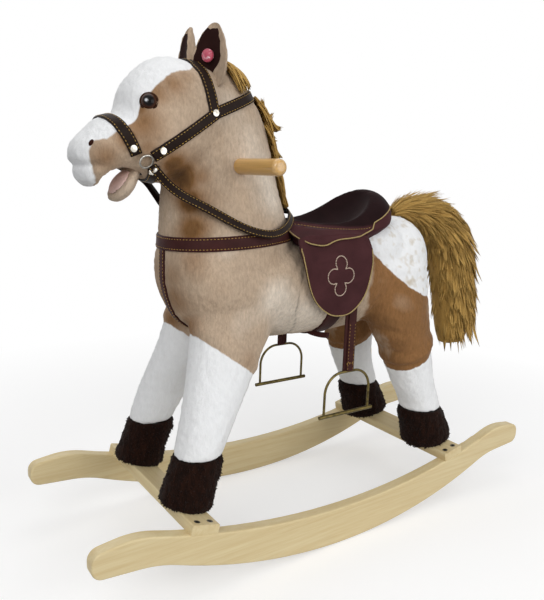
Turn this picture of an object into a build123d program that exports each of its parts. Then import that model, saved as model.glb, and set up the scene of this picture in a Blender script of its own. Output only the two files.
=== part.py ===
from build123d import *
import math
import os

# Rocking horse: a plush horse with a saddle, bolted on a bent-wood rocker base.
# Millimetres. +X points to the head, +Y to the horse's left and +Z up.
# The origin is on the floor, under the lowest point of the rockers.

# Clearances
soft_gap = 0.3  # between soft pieces on different bodies
running_gap = 0.05  # radial, between a pin and what turns on it

# Rocker base
base_width = 270.0  # over the outer faces of the rockers
rocker_length = 755.0
rocker_thickness = 18.0
rocker_depth = 54.0  # board height over its lowest point
sole_radius = 742.0
rocker_top_radius = 1034.0
sole_reach = 275.0  # half length of the rolling arc
sole_recurve_radius = 150.0
sole_tip_slope = 4.0  # degrees
top_reach = 300.0  # half length of the hollow of the top edge
top_crown_radius = 110.0
top_tip_slope = 8.0  # degrees, falling to the tip
tip_round = 14.0
front_slat_x = 239.0
rear_slat_x = -213.0
slat_width = 38.0
slat_thickness = 13.0
slat_let_in = 0.5  # depth of a slat's seat in the rockers
slat_edge_round = 2.0
rocker_edge_round = 2.5
screw_pitch = 18.0  # between the two screws of one slat end
screw_head_radius = 4.0
screw_head_height = 4.0
screw_shank_radius = 2.0
screw_length = 36.0
screw_socket_radius = 2.2
screw_socket_depth = 2.5

# Wooden frame inside the horse
leg_spacing = 150.0  # between the middles of two hooves
post_size = 24.0
spine_width = 108.0
spine_height = 18.0
spine_bottom = 330.0
spine_front = 192.0
spine_rear = -165.0
front_post_x = 178.0  # where the posts meet the spine board
rear_post_x = -150.0
neck_board_x = 153.0
neck_board_width = 52.0
neck_board_thickness = 20.0
neck_board_top = 562.0
bolt_radius = 3.0
bolt_length = 52.0
bolt_head_radius = 6.5
bolt_head_height = 4.0
handle_radius = 10.0
handle_length = 290.0
handle_height = 518.0
handle_end_round = 6.0

# Plush horse, half widths and places
barrel_half_width = 80.0
barrel_middle = 362.0  # height at which the barrel is widest
muzzle_tip_x = 347.0
poll_height = 650.0
front_hoof_top = 156.0
rear_hoof_top = 146.0
ear_height = 73.0
ear_half_width = 27.0
ear_thickness = 15.0
ear_turn = 27.0  # degrees that an ear faces outwards
ear_spread = 60.0  # between the two ear roots
ear_x = 180.0
ear_root = 612.0
ear_tip_spread = 72.0
ear_outline = [  # shares of the height, the half width and the thickness
    (0, 0.72, 1),
    (0.22, 0.95, 1),
    (0.45, 1, 0.9),
    (0.68, 0.8, 0.8),
    (0.86, 0.46, 0.6),
    (1, 0.1, 0.3),
]
lining_thickness = 2.5
lining_share = 0.6  # of the ear's thickness
lining_width_share = 0.74
eye_x = 268.0
eye_height = 586.0
eye_spread = 82.0
eye_radius = 8.5
nostril_x = 333.0
nostril_height = 537.0
nostril_spread = 58.0
nostril_radius = 4.5

# Press button in the left ear
button_radius = 7.0
button_height = 5.0
button_proud = 2.5
button_rise = 34.0  # above the ear root
button_travel = 2.0
button_gap = 0.1

# Jaw
jaw_hinge_x = 270.0
jaw_hinge_height = 509.0
jaw_droop = 56.0  # degrees below level, as photographed
jaw_length = 48.0
jaw_half_width = 25.0
jaw_hub_radius = 7.0
jaw_hub_width = 24.0
jaw_pin_radius = 3.0
jaw_close = 18.0  # degrees that it closes from the photographed place
jaw_open = 4.0
jaw_arm_radius = 6.0
tongue_level = 4.0  # height of the tongue pad's underside above the jaw's middle
palate_half_width = 27.0
palate_top = 506.0
palate_setback = 12.0  # in front of the jaw hinge
lip_depth = 22.0

# Tail
tail_hinge_x = -188.0
tail_hub_radius = 13.0
tail_hub_bottom = 446.0
tail_hub_height = 24.0
tail_pin_radius = 3.0
tail_hub_cap = 5.0
tail_pin_bottom = 404.0
tail_pin_seat = 6.0  # from the foot of the pin to the bottom of its gear unit
tail_gear_length = 34.0
tail_gear_width = 30.0
tail_gear_height = 32.0

# Sound and motion unit
case_length = 78.0
case_width = 62.0
case_height = 34.0
case_wall = 2.0
case_x = -55.0
cell_radius = 7.2
cell_length = 50.0
cell_spread = 16.0
speaker_radius = 14.0
speaker_height = 8.0
speaker_magnet_radius = 8.0
gear_unit_length = 34.0
gear_unit_height = 26.0
jaw_arm_thickness = 5.0

# Harness
strap_width = 15.0
strap_thickness = 2.5
collar_width = 19.0
girth_width = 30.0
chest_strap_width = 13.0
ring_radius = 8.0
ring_wire_radius = 1.3
stud_radius = 4.0
stud_height = 1.6
rein_width = 15.0
rein_flatness = 1.5  # how far the rein lies flat to the side of the neck rather than round it
ring_x = 272.0
ring_height = 519.0
ring_lean = 30.0  # degrees off upright, as the cheek rounds in below
girth_x = -3.0
chest_strap_top = 409.0
# Middle lines of the straps in side view, as two (x, z) points, and where they end
noseband_line = ((316, 564), (284, 528))
noseband_end = 526.0
cheek_line = ((263, 526), (189, 579))
brow_line = ((190, 572), (212, 652))
brow_end = 574.0
nape_line = ((189, 579), (108, 613))
chin_line = ((266, 524), (250, 488))
chin_end = 513.0
collar_line = ((62, 431), (255, 418))
collar_end = 66.0
rivet_places = {
    "noseband": (289, 533),
    "cheek_strap_left": (255, 532),
    "browband": (191, 579),
    "chin_strap": (262, 508),
}
rein_route = [
    (268, 51, 514),
    (252, 53, 499),
    (232, 53, 485),
    (212, 55, 474),
    (194, 61, 464),
    (174, 70, 451),
    (153, 77, 441),
    (134, 80, 436),
    (116, 79, 434),
    (97, 72, 437),
    (78, 60, 444),
    (60, 40, 453),
    (48, 18, 459),
    (45, 0, 460),
]

# Saddle and stirrups
flap_thickness = 4.0
flap_front_x = 75.0
flap_rear_x = -57.0
flap_bottom = 318.0
flap_top = 424.0
flap_lean = 16.0  # how far the top of a flap leans in over the barrel
flap_sweep = 6.0  # that its toe lies behind its middle
flap_toe_rise = 5.5
flap_front_taper = 11.0
flap_rear_taper = 9.0
barrel_bulge = 1.2  # that the barrel may swell between its sections
dish_x = -14.0
dish_bottom = 428.0
dish_radius = 90.0
stirrup_x = -23.0
leather_width = 22.0
leather_thickness = 3.0
leather_pivot_height = 366.0
stirrup_crown_height = 233.0
stirrup_wire_radius = 1.9
stirrup_half_width = 42.0
stirrup_shoulder_radius = 30.0
tread_height = 170.0
tread_length = 100.0
tread_radius = 2.8
leather_loop_wall = 2.4

# Worked out
leather_y = barrel_half_width + barrel_bulge + soft_gap  # inner face of a stirrup leather


def quarter(side, rise):
    """Radius and centre of two tangent arcs from (side, 0) to (0, rise), and the point where they join."""
    if abs(side - rise) < 0.01 * side:
        joint = Vector(side, rise) * math.sqrt(0.5)
        return (side, Vector(0, 0)), (rise, Vector(0, 0)), joint
    low_radius = rise**2 / side
    top_radius = ((side - low_radius) ** 2 + rise**2 - low_radius**2) / (2 * (rise - low_radius))
    low_centre = Vector(side - low_radius, 0)
    top_centre = Vector(0, rise - top_radius)
    if low_radius < top_radius:
        joint = low_centre + (low_centre - top_centre).normalized() * low_radius
    else:
        joint = top_centre + (top_centre - low_centre).normalized() * top_radius
    return (low_radius, low_centre), (top_radius, top_centre), joint


def oval(plane, side, above, below):
    """Closed face of six tangent arcs on a plane, with its own reach above and below the plane's origin."""

    def place(point, flip=1):
        return plane.from_local_coords((point.X, flip * point.Y, 0))

    def side_arc(arc, joint):
        radius, centre = arc
        start = Vector(side, 0)
        return start, centre + ((start + joint) * 0.5 - centre).normalized() * radius

    edges = []
    halves = []
    for rise in (above, below):
        low, top, joint = quarter(side, rise)
        start, middle = side_arc(low, joint)
        halves.append((rise, start, middle, joint))
    for flip, (rise, start, middle, joint) in zip((1, -1), halves):
        mirrored_joint = Vector(-joint.X, joint.Y)
        mirrored_middle = Vector(-middle.X, middle.Y)
        first = ThreePointArc(place(start, flip), place(middle, flip), place(joint, flip))
        crown = ThreePointArc(place(joint, flip), place(Vector(0, rise), flip), place(mirrored_joint, flip))
        last = ThreePointArc(place(mirrored_joint, flip), place(mirrored_middle, flip), place(-start, flip))
        edges.extend([first, crown, last] if flip == 1 else [last, crown, first])
    return Face(Wire(edges))


def upright(x, z, y=0.0):
    """Plane across the horse, facing forwards, with its own y axis up."""
    return Plane(origin=(x, y, z), x_dir=(0, 1, 0), z_dir=(1, 0, 0))


def level(x, z, y=0.0):
    """Level plane with its own y axis forwards."""
    return Plane(origin=(x, y, z), x_dir=(0, -1, 0), z_dir=(0, 0, 1))


def along_x(stations, grow=0.0):
    """Stuffed form through upright ovals: x, bottom, middle, top, half width, moved out by grow."""
    faces = []
    last = len(stations) - 1
    for index, (x, bottom, middle, top, side) in enumerate(stations):
        if index in (0, last):
            x += math.copysign(grow, x - stations[last // 2][0])
        faces.append(oval(upright(x, middle), side + grow, top - middle + grow, middle - bottom + grow))
    return loft(faces)


def along_z(stations, y_sign=1, grow=0.0):
    """Stuffed form through level ovals: z, rear, middle, front, y, half width, moved out by grow."""
    faces = []
    for z, rear, middle, front, y, side in stations:
        plane = level(middle, z, y * y_sign)
        faces.append(oval(plane, side + grow, front - middle + grow, middle - rear + grow))
    return loft(faces)


def side_plate(outline, near, far):
    """Solid of an outline drawn in side view (x, z), between two y positions."""
    return extrude(Plane.XZ.offset(-far) * outline, far - near, dir=(0, -1, 0))


def block(x_range, y_range, z_range):
    """Box between the given limits."""
    spans = [high - low for low, high in (x_range, y_range, z_range)]
    middles = [(high + low) / 2 for low, high in (x_range, y_range, z_range)]
    return Pos(*middles) * Box(*spans)


def slanted_band(start, end, width, extra=0.0):
    """Endless band across the horse that runs in side view from one (x, z) point to another."""
    run = Vector(end[0] - start[0], 0, end[1] - start[1])
    middle = ((start[0] + end[0]) / 2, 0, (start[1] + end[1]) / 2)
    plane = Plane(origin=middle, x_dir=run, z_dir=(0, 1, 0))
    return plane * Box(run.length + 2 * extra, width, 2 * base_width)


def cylinder_y(radius, length, x, z, y=0.0):
    """Cylinder along Y with its middle at the given place."""
    return Pos(x, y, z) * Rot(90, 0, 0) * Cylinder(radius, length)


def rod(start, direction, radius, length):
    """Cylinder from a point along a direction."""
    standing = (Align.CENTER, Align.CENTER, Align.MIN)
    return Plane(origin=start, z_dir=direction) * Cylinder(radius, length, align=standing)


# Wooden base


def top_edge_height(x):
    """Height of the rocker's hollow top edge at x."""
    return rocker_depth + rocker_top_radius - math.sqrt(rocker_top_radius**2 - x**2)


def slat_plane(x):
    """Plane of a slat's seat: let into the rockers' top edge a little, with its normal upwards."""
    tilt = math.asin(x / rocker_top_radius)
    seat = (x, 0, top_edge_height(x) - slat_let_in)
    along = (math.cos(tilt), 0, math.sin(tilt))
    normal = (-math.sin(tilt), 0, math.cos(tilt))
    return Plane(origin=seat, x_dir=along, z_dir=normal)


def turned(start, radius, angle_from, angle_to):
    """Point and middle of an arc that bends downwards from one slope to another, in degrees."""

    def at(angle):
        first = math.radians(angle_from)
        here = math.radians(angle)
        return Vector(math.sin(first) - math.sin(here), math.cos(here) - math.cos(first)) * radius + start

    return at((angle_from + angle_to) / 2), at(angle_to)


def rocker_outline():
    """Side view of a rocker: a rolling sole that flattens to the tips and a hollow top edge."""
    half = rocker_length / 2
    sole_slope = math.degrees(math.asin(sole_reach / sole_radius))
    sole_end = Vector(sole_reach, sole_radius - math.sqrt(sole_radius**2 - sole_reach**2))
    half_slope = math.radians(sole_slope / 2)
    sole_middle = Vector(math.sin(half_slope), 1 - math.cos(half_slope)) * sole_radius
    bend_middle, bend_end = turned(sole_end, sole_recurve_radius, sole_slope, sole_tip_slope)
    low_tip = Vector(half, bend_end.Y + (half - bend_end.X) * math.tan(math.radians(sole_tip_slope)))
    top_slope = math.degrees(math.asin(top_reach / rocker_top_radius))
    top_end = Vector(top_reach, top_edge_height(top_reach))
    crown_middle, crown_end = turned(top_end, top_crown_radius, top_slope, -top_tip_slope)
    high_tip = Vector(half, crown_end.Y - (half - crown_end.X) * math.tan(math.radians(top_tip_slope)))
    hollow_middle = Vector(top_reach / 2, top_edge_height(top_reach / 2))
    edges = [
        ThreePointArc((0, 0), sole_middle, sole_end),
        ThreePointArc(sole_end, bend_middle, bend_end),
        Line(bend_end, low_tip),
        Line(low_tip, high_tip),
        Line(high_tip, crown_end),
        ThreePointArc(crown_end, crown_middle, top_end),
        ThreePointArc(top_end, hollow_middle, (0, rocker_depth)),
        Line((0, rocker_depth), (0, 0)),
    ]
    face = Sketch() + Face(Wire(edges))
    tips = [vertex for vertex in face.vertices() if vertex.X > half - 0.01]
    face = fillet(tips, tip_round)
    return face + mirror(face, about=Plane.YZ)


def slat(x):
    """Cross slat that lies on both rockers."""
    solid = Box(slat_width, base_width, slat_thickness, align=(Align.CENTER, Align.CENTER, Align.MIN))
    solid = fillet(solid.edges().filter_by(Axis.Y).group_by(Axis.Z)[-1], slat_edge_round)
    return slat_plane(x) * solid


def slat_screw(socket=True):
    """Socket screw, its head flush with the top of the slat, or the hole for it."""
    centred_top = (Align.CENTER, Align.CENTER, Align.MAX)
    top = Pos(0, 0, slat_thickness)
    screw = top * Cylinder(screw_head_radius, screw_head_height, align=centred_top)
    screw += top * Cylinder(screw_shank_radius, screw_length, align=centred_top)
    if socket:
        screw -= top * Cylinder(screw_socket_radius, screw_socket_depth, align=centred_top)
    return screw


def screw_places():
    """Local planes of the eight slat screws."""
    reach = base_width / 2 - rocker_thickness / 2
    for x in (front_slat_x, rear_slat_x):
        for y in (-reach, reach):
            for offset in (-screw_pitch / 2, screw_pitch / 2):
                yield slat_plane(x) * Pos(offset, y, 0)


# Wooden frame inside the horse


def leg_post_axis(slat_x, inner_x, side):
    """Start in the slat and direction of a leg post, up to the spine beam."""
    foot = slat_plane(slat_x).from_local_coords((0, side * leg_spacing / 2, slat_thickness / 2))
    head = Vector(inner_x, side * (spine_width - post_size) / 2, spine_bottom)
    return foot, head - foot


def leg_post(slat_x, inner_x, side):
    """Square post from the top of a slat to the underside of the spine beam."""
    foot, run = leg_post_axis(slat_x, inner_x, side)
    plane = Plane(origin=foot, x_dir=(0, 1, 0), z_dir=run)
    standing = (Align.CENTER, Align.CENTER, Align.MIN)
    post = plane * Box(post_size, post_size, run.length + post_size, align=standing)
    return post - above(spine_bottom)


def leg_bolt(slat_x, side):
    """Flanged bolt from under a slat into a leg post."""
    place = slat_plane(slat_x) * Pos(0, side * leg_spacing / 2, 0)
    head_align = (Align.CENTER, Align.CENTER, Align.MAX)
    shank_align = (Align.CENTER, Align.CENTER, Align.MIN)
    bolt = Cylinder(bolt_head_radius, bolt_head_height, align=head_align)
    bolt += Cylinder(bolt_radius, bolt_length, align=shank_align)
    return place * bolt


# Plush forms


def body_form(grow=0.0):
    """Barrel with the chest and the rump."""
    side = barrel_half_width
    middle = barrel_middle
    stations = [
        (-219, 372, 392, 410, 15),
        (-212, 350, 386, 427, 39),
        (-193, 325, 380, 445, 63),
        (-160, 305, 370, 450, 77),
        (-115, 290, middle, 434, side),
        (-60, 281, middle, 422, side),
        (0, 278, middle, 422, side),
        (60, 280, middle, 430, side),
        (125, 289, middle, 440, side),
        (182, 303, middle, 442, 77),
        (208, 318, 372, 437, 64),
        (225, 344, 384, 427, 42),
        (232, 370, 394, 415, 17),
    ]
    return along_x(stations, grow)


def neck_form(grow=0.0):
    """Neck from the withers and chest up into the head."""
    stations = [
        (392, 40, 138, 229, 0, 78),
        (430, 46, 142, 232, 0, 72),
        (467, 60, 146, 231, 0, 65),
        (500, 71, 150, 228, 0, 60),
        (540, 82, 154, 222, 0, 57),
        (575, 94, 158, 215, 0, 53),
        (600, 108, 160, 205, 0, 45),
        (616, 130, 160, 190, 0, 26),
    ]
    return along_z(stations, 1, grow)


def head_form(grow=0.0):
    """Head from the nape to the rounded muzzle, without the lower jaw."""
    stations = [
        (114, 572, 588, 604, 18),
        (124, 548, 586, 621, 37),
        (145, 522, 580, 637, 49),
        (175, 502, 574, 646, 55),
        (205, 496, 570, poll_height, 57),
        (232, 494, 564, 647, 56),
        (258, 497, 558, 635, 52),
        (283, 503, 550, 610, 46),
        (305, 500, 538, 583, 41),
        (322, 487, 526, 563, 39),
        (335, 486, 520, 549, 33),
        (344, 494, 518, 538, 20),
        (muzzle_tip_x, 505, 518, 530, 9),
    ]
    return along_x(stations, grow)


def front_leg_form(side):
    """Front leg from the shoulder to the top of the hoof."""
    foot = leg_spacing / 2
    stations = [
        (front_hoof_top, 186, 217, 248, foot - 2, 30),
        (200, 161, 201, 236, foot - 8, 32),
        (250, 127, 176, 221, foot - 22, 35),
        (290, 101, 156, 211, foot - 33, 39),
        (330, 84, 145, 204, foot - 38, 41),
        (370, 80, 142, 198, foot - 42, 42),
    ]
    return along_z(stations, side)


def rear_leg_form(side):
    """Hind leg from the thigh to the top of the hoof."""
    foot = leg_spacing / 2
    stations = [
        (rear_hoof_top, -226, -190, -156, foot, 32),
        (182, -211, -175, -141, foot - 2, 33),
        (220, -201, -161, -124, foot - 5, 36),
        (250, -198, -152, -111, foot - 9, 39),
        (290, -196, -143, -89, foot - 16, 43),
        (330, -197, -140, -81, foot - 24, 44),
        (380, -195, -137, -78, foot - 31, 41),
    ]
    return along_z(stations, side)


def front_hoof_form(side):
    """Front hoof over the front slat."""
    foot = leg_spacing / 2
    stations = [
        (82, 209, 234, 264, foot, 28),
        (92, 201, 232, 269, foot, 33),
        (108, 197, 229, 267, foot, 35),
        (130, 190, 223, 258, foot - 1, 34),
        (front_hoof_top, 185, 217, 249, foot - 2, 31),
    ]
    return along_z(stations, side)


def rear_hoof_form(side):
    """Rear hoof over the rear slat."""
    foot = leg_spacing / 2
    stations = [
        (80, -248, -212, -176, foot, 31),
        (90, -253, -210, -169, foot, 37),
        (104, -250, -206, -166, foot, 38),
        (122, -241, -199, -161, foot, 36),
        (rear_hoof_top, -227, -190, -155, foot, 33),
    ]
    return along_z(stations, side)


def under_floor_of(slat_x):
    """Everything below the top of a slat, to cut a hoof's sole in line with it."""
    reach = 2 * base_width
    slab = Box(reach, reach, reach, align=(Align.CENTER, Align.CENTER, Align.MAX))
    return slat_plane(slat_x) * Pos(0, 0, slat_thickness) * slab


# Head pieces


def jaw_plane(distance):
    """Plane across the lower jaw at a distance from its hinge, with its own y axis towards the palate."""
    droop = math.radians(jaw_droop)
    run = Vector(math.cos(droop), 0, -math.sin(droop))
    hinge = Vector(jaw_hinge_x, 0, jaw_hinge_height)
    return Plane(origin=hinge + run * distance, x_dir=(0, 1, 0), z_dir=run)


def jaw_form(grow=0.0):
    """Lower jaw, hanging open."""
    side = jaw_half_width
    stations = [
        (3, side - 5, 7, 9),
        (18, side, 8, 12),
        (33, side - 1, 8, 13),
        (jaw_length - 8, side - 6, 6, 11),
        (jaw_length - 2, side - 13, 4, 7),
        (jaw_length, side - 19, 2, 4),
    ]
    faces = [oval(jaw_plane(s), w + grow, up + grow, down + grow) for s, w, up, down in stations]
    return loft(faces)


def on_jaw_hinge(radius, length, y=0.0):
    """Cylinder on the axis of the jaw hinge."""
    return cylinder_y(radius, length, jaw_hinge_x, jaw_hinge_height, y)


def jaw_cavity():
    """Room that the jaw sweeps through inside the head."""
    hinge = Axis((jaw_hinge_x, 0, jaw_hinge_height), (0, 1, 0))
    grown = jaw_form(2 * soft_gap)
    cavity = on_jaw_hinge(jaw_hub_radius + soft_gap, jaw_hub_width + 2 * soft_gap)
    for angle in (-jaw_close, -jaw_close / 2, 0, jaw_open):
        cavity += grown.rotate(hinge, angle)
    return cavity


def jaw_pieces():
    """Lower jaw with the hub of its hinge, and the tongue pad on it."""
    form = jaw_form()
    reach = 2 * jaw_length
    above_pad = jaw_plane(0) * Pos(0, tongue_level + reach / 2, 0) * Box(reach, reach, 2 * reach)
    tongue = (form & above_pad) - on_jaw_hinge(jaw_hub_radius + tongue_level, reach)
    jaw = form - tongue
    for side in (-1, 1):
        jaw -= on_jaw_hinge(jaw_arm_radius + soft_gap, reach, side * (jaw_hub_width + reach) / 2)
    jaw += on_jaw_hinge(jaw_hub_radius, jaw_hub_width)
    jaw -= on_jaw_hinge(jaw_pin_radius + running_gap, reach)
    return jaw, tongue - jaw


def jaw_gear_unit():
    """Gear unit with two arms that carry the jaw's hinge pin."""
    inner = jaw_hub_width / 2 + soft_gap
    outer = inner + jaw_arm_thickness
    front = jaw_hinge_x - jaw_hub_radius - 2 * soft_gap
    low = jaw_hinge_height - jaw_pin_radius
    unit = block((front - gear_unit_length, front), (-outer, outer), (low, low + gear_unit_height))
    for side in (-1, 1):
        y_range = sorted((side * inner, side * outer))
        arm_height = (low, jaw_hinge_height + jaw_arm_radius)
        unit += block((front, jaw_hinge_x), y_range, arm_height)
        unit += on_jaw_hinge(jaw_arm_radius, jaw_arm_thickness, side * (inner + outer) / 2)
    return unit - on_jaw_hinge(jaw_pin_radius, 4 * outer)


def jaw_pin():
    """Hinge pin of the jaw, held in both arms."""
    return on_jaw_hinge(jaw_pin_radius, jaw_hub_width + 2 * (soft_gap + jaw_arm_thickness))


def palate_form():
    """Pink lining under the upper lip."""
    x_range = (jaw_hinge_x + palate_setback, muzzle_tip_x - lip_depth)
    y_range = (-palate_half_width, palate_half_width)
    return block(x_range, y_range, (palate_top - jaw_length, palate_top))


def ear_place(side, rise):
    """Middle of an ear at a height above its root, and the way that it faces."""
    share = rise / ear_height
    y = (ear_spread * (1 - share) + ear_tip_spread * share) / 2
    turn = math.radians(ear_turn)
    facing = Vector(math.cos(turn), side * math.sin(turn), 0)
    return Vector(ear_x, side * y, ear_root + rise), facing


def ear_form(side, width=1.0, thickness=1.0, forward=0.0):
    """Leaf-shaped ear, or its lining when narrowed and moved forwards."""
    faces = []
    for share, wide, thick in ear_outline:
        middle, facing = ear_place(side, share * ear_height)
        across = Vector(-facing.Y, facing.X, 0)
        plane = Plane(origin=middle + facing * forward, x_dir=across, z_dir=(0, 0, 1))
        half = ear_thickness / 2 * thick * thickness
        faces.append(oval(plane, ear_half_width * wide * width, half, half))
    return loft(faces)


def lining_form(side):
    """Raised pad of dark plush inside an ear."""
    forward = ear_thickness / 2 * (1 - lining_share) + lining_thickness
    return ear_form(side, lining_width_share, lining_share, forward)


def button_solid(radius, depth, proud):
    """Cylinder of the ear button, from a depth below the face of the lining to its proud end."""
    middle, facing = ear_place(1, button_rise)
    face = middle + facing * (ear_thickness / 2 + lining_thickness)
    return rod(face - facing * depth, facing, radius, depth + proud)


def ear_pocket():
    """Room of the button over its whole travel."""
    depth = button_height - button_proud + button_travel + soft_gap
    return button_solid(button_radius + button_gap, depth, 2 * ear_thickness)


def paired_spheres(x, z, spread, radius):
    """Two balls, left and right."""
    return [Pos(x, side * spread / 2, z) * Sphere(radius) for side in (-1, 1)]


# Hair


def mane_form():
    """Mane along the crest of the neck, below the nape strap."""
    stations = [
        (462, 46, 60, 78, 0, 8),
        (482, 48, 64, 86, 0, 11),
        (515, 52, 74, 98, 0, 13),
        (550, 62, 86, 108, 0, 14),
        (575, 72, 96, 118, 0, 14),
        (595, 92, 108, 128, 0, 13),
    ]
    return along_z(stations)


def poll_tuft_form():
    """Tuft of the mane between the ears and the nape strap."""
    stations = [
        (606, 116, 136, 156, 0, 23),
        (625, 114, 138, 163, 0, 24),
        (639, 121, 142, 165, 0, 21),
        (648, 134, 147, 162, 0, 12),
    ]
    return along_z(stations)


def tail_form():
    """Long hair of the tail, from its hub up, over and down."""
    stations = [
        (-190, 459, 0, 11, 8),
        (-214, 467, 0, 19, 16),
        (-250, 462, 2, 33, 29),
        (-288, 429, 5, 43, 43),
        (-312, 372, 9, 46, 51),
        (-322, 310, 12, 45, 50),
        (-326, 252, 14, 40, 44),
        (-327, 214, 14, 26, 30),
    ]
    faces = []
    for index, (x, z, y, side, half) in enumerate(stations):
        before = stations[max(index - 1, 0)]
        after = stations[min(index + 1, len(stations) - 1)]
        run = Vector(after[0] - before[0], 0, after[1] - before[1])
        plane = Plane(origin=(x, y, z), x_dir=(0, 1, 0), z_dir=run)
        faces.append(oval(plane, side, half, half))
    return loft(faces)


def on_tail_hinge(radius, bottom, height):
    """Upright cylinder on the axis of the tail hinge."""
    return rod((tail_hinge_x, 0, bottom), (0, 0, 1), radius, height)


def tail_piece():
    """Tail with the hub that turns on the tail pin."""
    tail = tail_form() + on_tail_hinge(tail_hub_radius, tail_hub_bottom, tail_hub_height)
    tail -= on_tail_hinge(2 * tail_hub_radius, tail_hub_bottom - tail_hub_height, tail_hub_height)
    bore = tail_hub_height - tail_hub_cap
    return tail - on_tail_hinge(tail_pin_radius + running_gap, tail_hub_bottom, bore)


def tail_pin():
    """Hinge pin of the tail, held in its gear unit."""
    top = tail_hub_bottom + tail_hub_height - tail_hub_cap - soft_gap
    return on_tail_hinge(tail_pin_radius, tail_pin_bottom, top - tail_pin_bottom)


def tail_gear_unit():
    """Gear unit in the rump that turns the tail."""
    half = tail_gear_width / 2
    rear = tail_hinge_x - 2 * tail_pin_radius
    x_range = (rear, rear + tail_gear_length)
    top = tail_pin_bottom + tail_gear_height - tail_pin_seat
    unit = block(x_range, (-half, half), (top - tail_gear_height, top))
    return unit - tail_pin()


# Sound unit under the spine board


def sound_case():
    """Open-bottomed case, fixed under the spine board."""
    half_x = case_length / 2
    half_y = case_width / 2
    low = spine_bottom - case_height
    shell = block((case_x - half_x, case_x + half_x), (-half_y, half_y), (low, spine_bottom))
    inner_x = half_x - case_wall
    inner_y = half_y - case_wall
    roof = spine_bottom - case_wall
    return shell - block((case_x - inner_x, case_x + inner_x), (-inner_y, inner_y), (low, roof))


def battery_cover():
    """Plate that closes the sound case from below."""
    half_x = case_length / 2
    half_y = case_width / 2
    low = spine_bottom - case_height
    return block((case_x - half_x, case_x + half_x), (-half_y, half_y), (low - case_wall, low))


def cells():
    """Two dry cells, lying on the battery cover."""
    height = spine_bottom - case_height + cell_radius
    lying = Rot(0, 90, 0) * Cylinder(cell_radius, cell_length)
    return [Pos(case_x, side * cell_spread / 2, height) * lying for side in (-1, 1)]


def speaker():
    """Speaker under the roof of the sound case."""
    roof = spine_bottom - case_wall
    standing = (Align.CENTER, Align.CENTER, Align.MIN)
    cone = Cone(speaker_radius, speaker_magnet_radius, speaker_height, align=standing)
    return Pos(case_x, 0, roof) * Rot(180, 0, 0) * cone


# Harness


def strap_on(band, skins, forms):
    """Strap cut out of the grown skins by a band, and laid on the plush forms."""
    strap = None
    for skin in skins:
        piece = skin & band
        strap = piece if strap is None else strap + piece
    for form in forms:
        strap -= form
    return strap


def half_space(side):
    """Everything on one side of the horse."""
    reach = 4 * base_width
    return block((-reach, reach), sorted((0, side * reach)), (-reach, reach))


def above(z):
    """Everything above a height."""
    reach = 4 * base_width
    return block((-reach, reach), (-reach, reach), (z, reach))


def ahead(x):
    """Everything in front of a place."""
    reach = 4 * base_width
    return block((x, reach), (-reach, reach), (-reach, reach))


def skin_y(solid, x, z):
    """Half width of a solid at a place in side view."""
    half = stud_height / 2
    probe = block((x - half, x + half), (0, base_width), (z - half, z + half))
    return (solid & probe).bounding_box().max.Y


def bridle_ring(solid, side):
    """Wire ring that joins the bridle straps beside the mouth, leaning with the cheek."""
    y = skin_y(solid, ring_x, ring_height) + strap_thickness + ring_wire_radius + soft_gap
    place = Pos(ring_x, side * y, ring_height) * Rot(90 - side * ring_lean, 0, 0)
    return place * Torus(ring_radius, ring_wire_radius)


def stud(strap, x, z, side):
    """Rivet head on the outside of a strap."""
    y = skin_y(strap, x, z)
    return cylinder_y(stud_radius, 2 * stud_height, x, z, side * y)


def rein_section(point, before, after):
    """Rectangle across the rein, its flat side towards the neck."""
    run = (after - before).normalized()
    outward = Vector(point.X - neck_board_x, point.Y, 0)
    if abs(point.Y) > strap_width:
        outward = Vector(0, math.copysign(1, point.Y), 0) * rein_flatness + outward.normalized()
    plane = Plane(origin=point, x_dir=outward - run * outward.dot(run), z_dir=run)
    return plane * Rectangle(strap_thickness, rein_width)


def reins():
    """One strap from the left bridle ring, round the withers, to the right ring."""
    left = [Vector(*point) for point in rein_route]
    right = [Vector(point.X, -point.Y, point.Z) for point in left[-2::-1]]
    route = left + right
    last = len(route) - 1
    sections = [rein_section(p, route[max(i - 1, 0)], route[min(i + 1, last)]) for i, p in enumerate(route)]
    return loft(sections)


# Saddle


def seat_form():
    """Saddle seat with a raised cantle, hollowed for the rider."""
    stations = [
        (-134, 446, 461, 474, 17),
        (-128, 434, 457, 485, 39),
        (-112, 420, 449, 491, 59),
        (-88, 404, 435, 488, 74),
        (-62, 390, 418, 476, 80),
        (-32, 382, 411, 463, 82),
        (4, 384, 413, 455, 79),
        (36, 392, 419, 450, 70),
        (60, 406, 427, 448, 54),
    ]
    dish = Pos(dish_x, 0, dish_bottom + dish_radius) * Sphere(dish_radius)
    return along_x(stations) - dish


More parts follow.
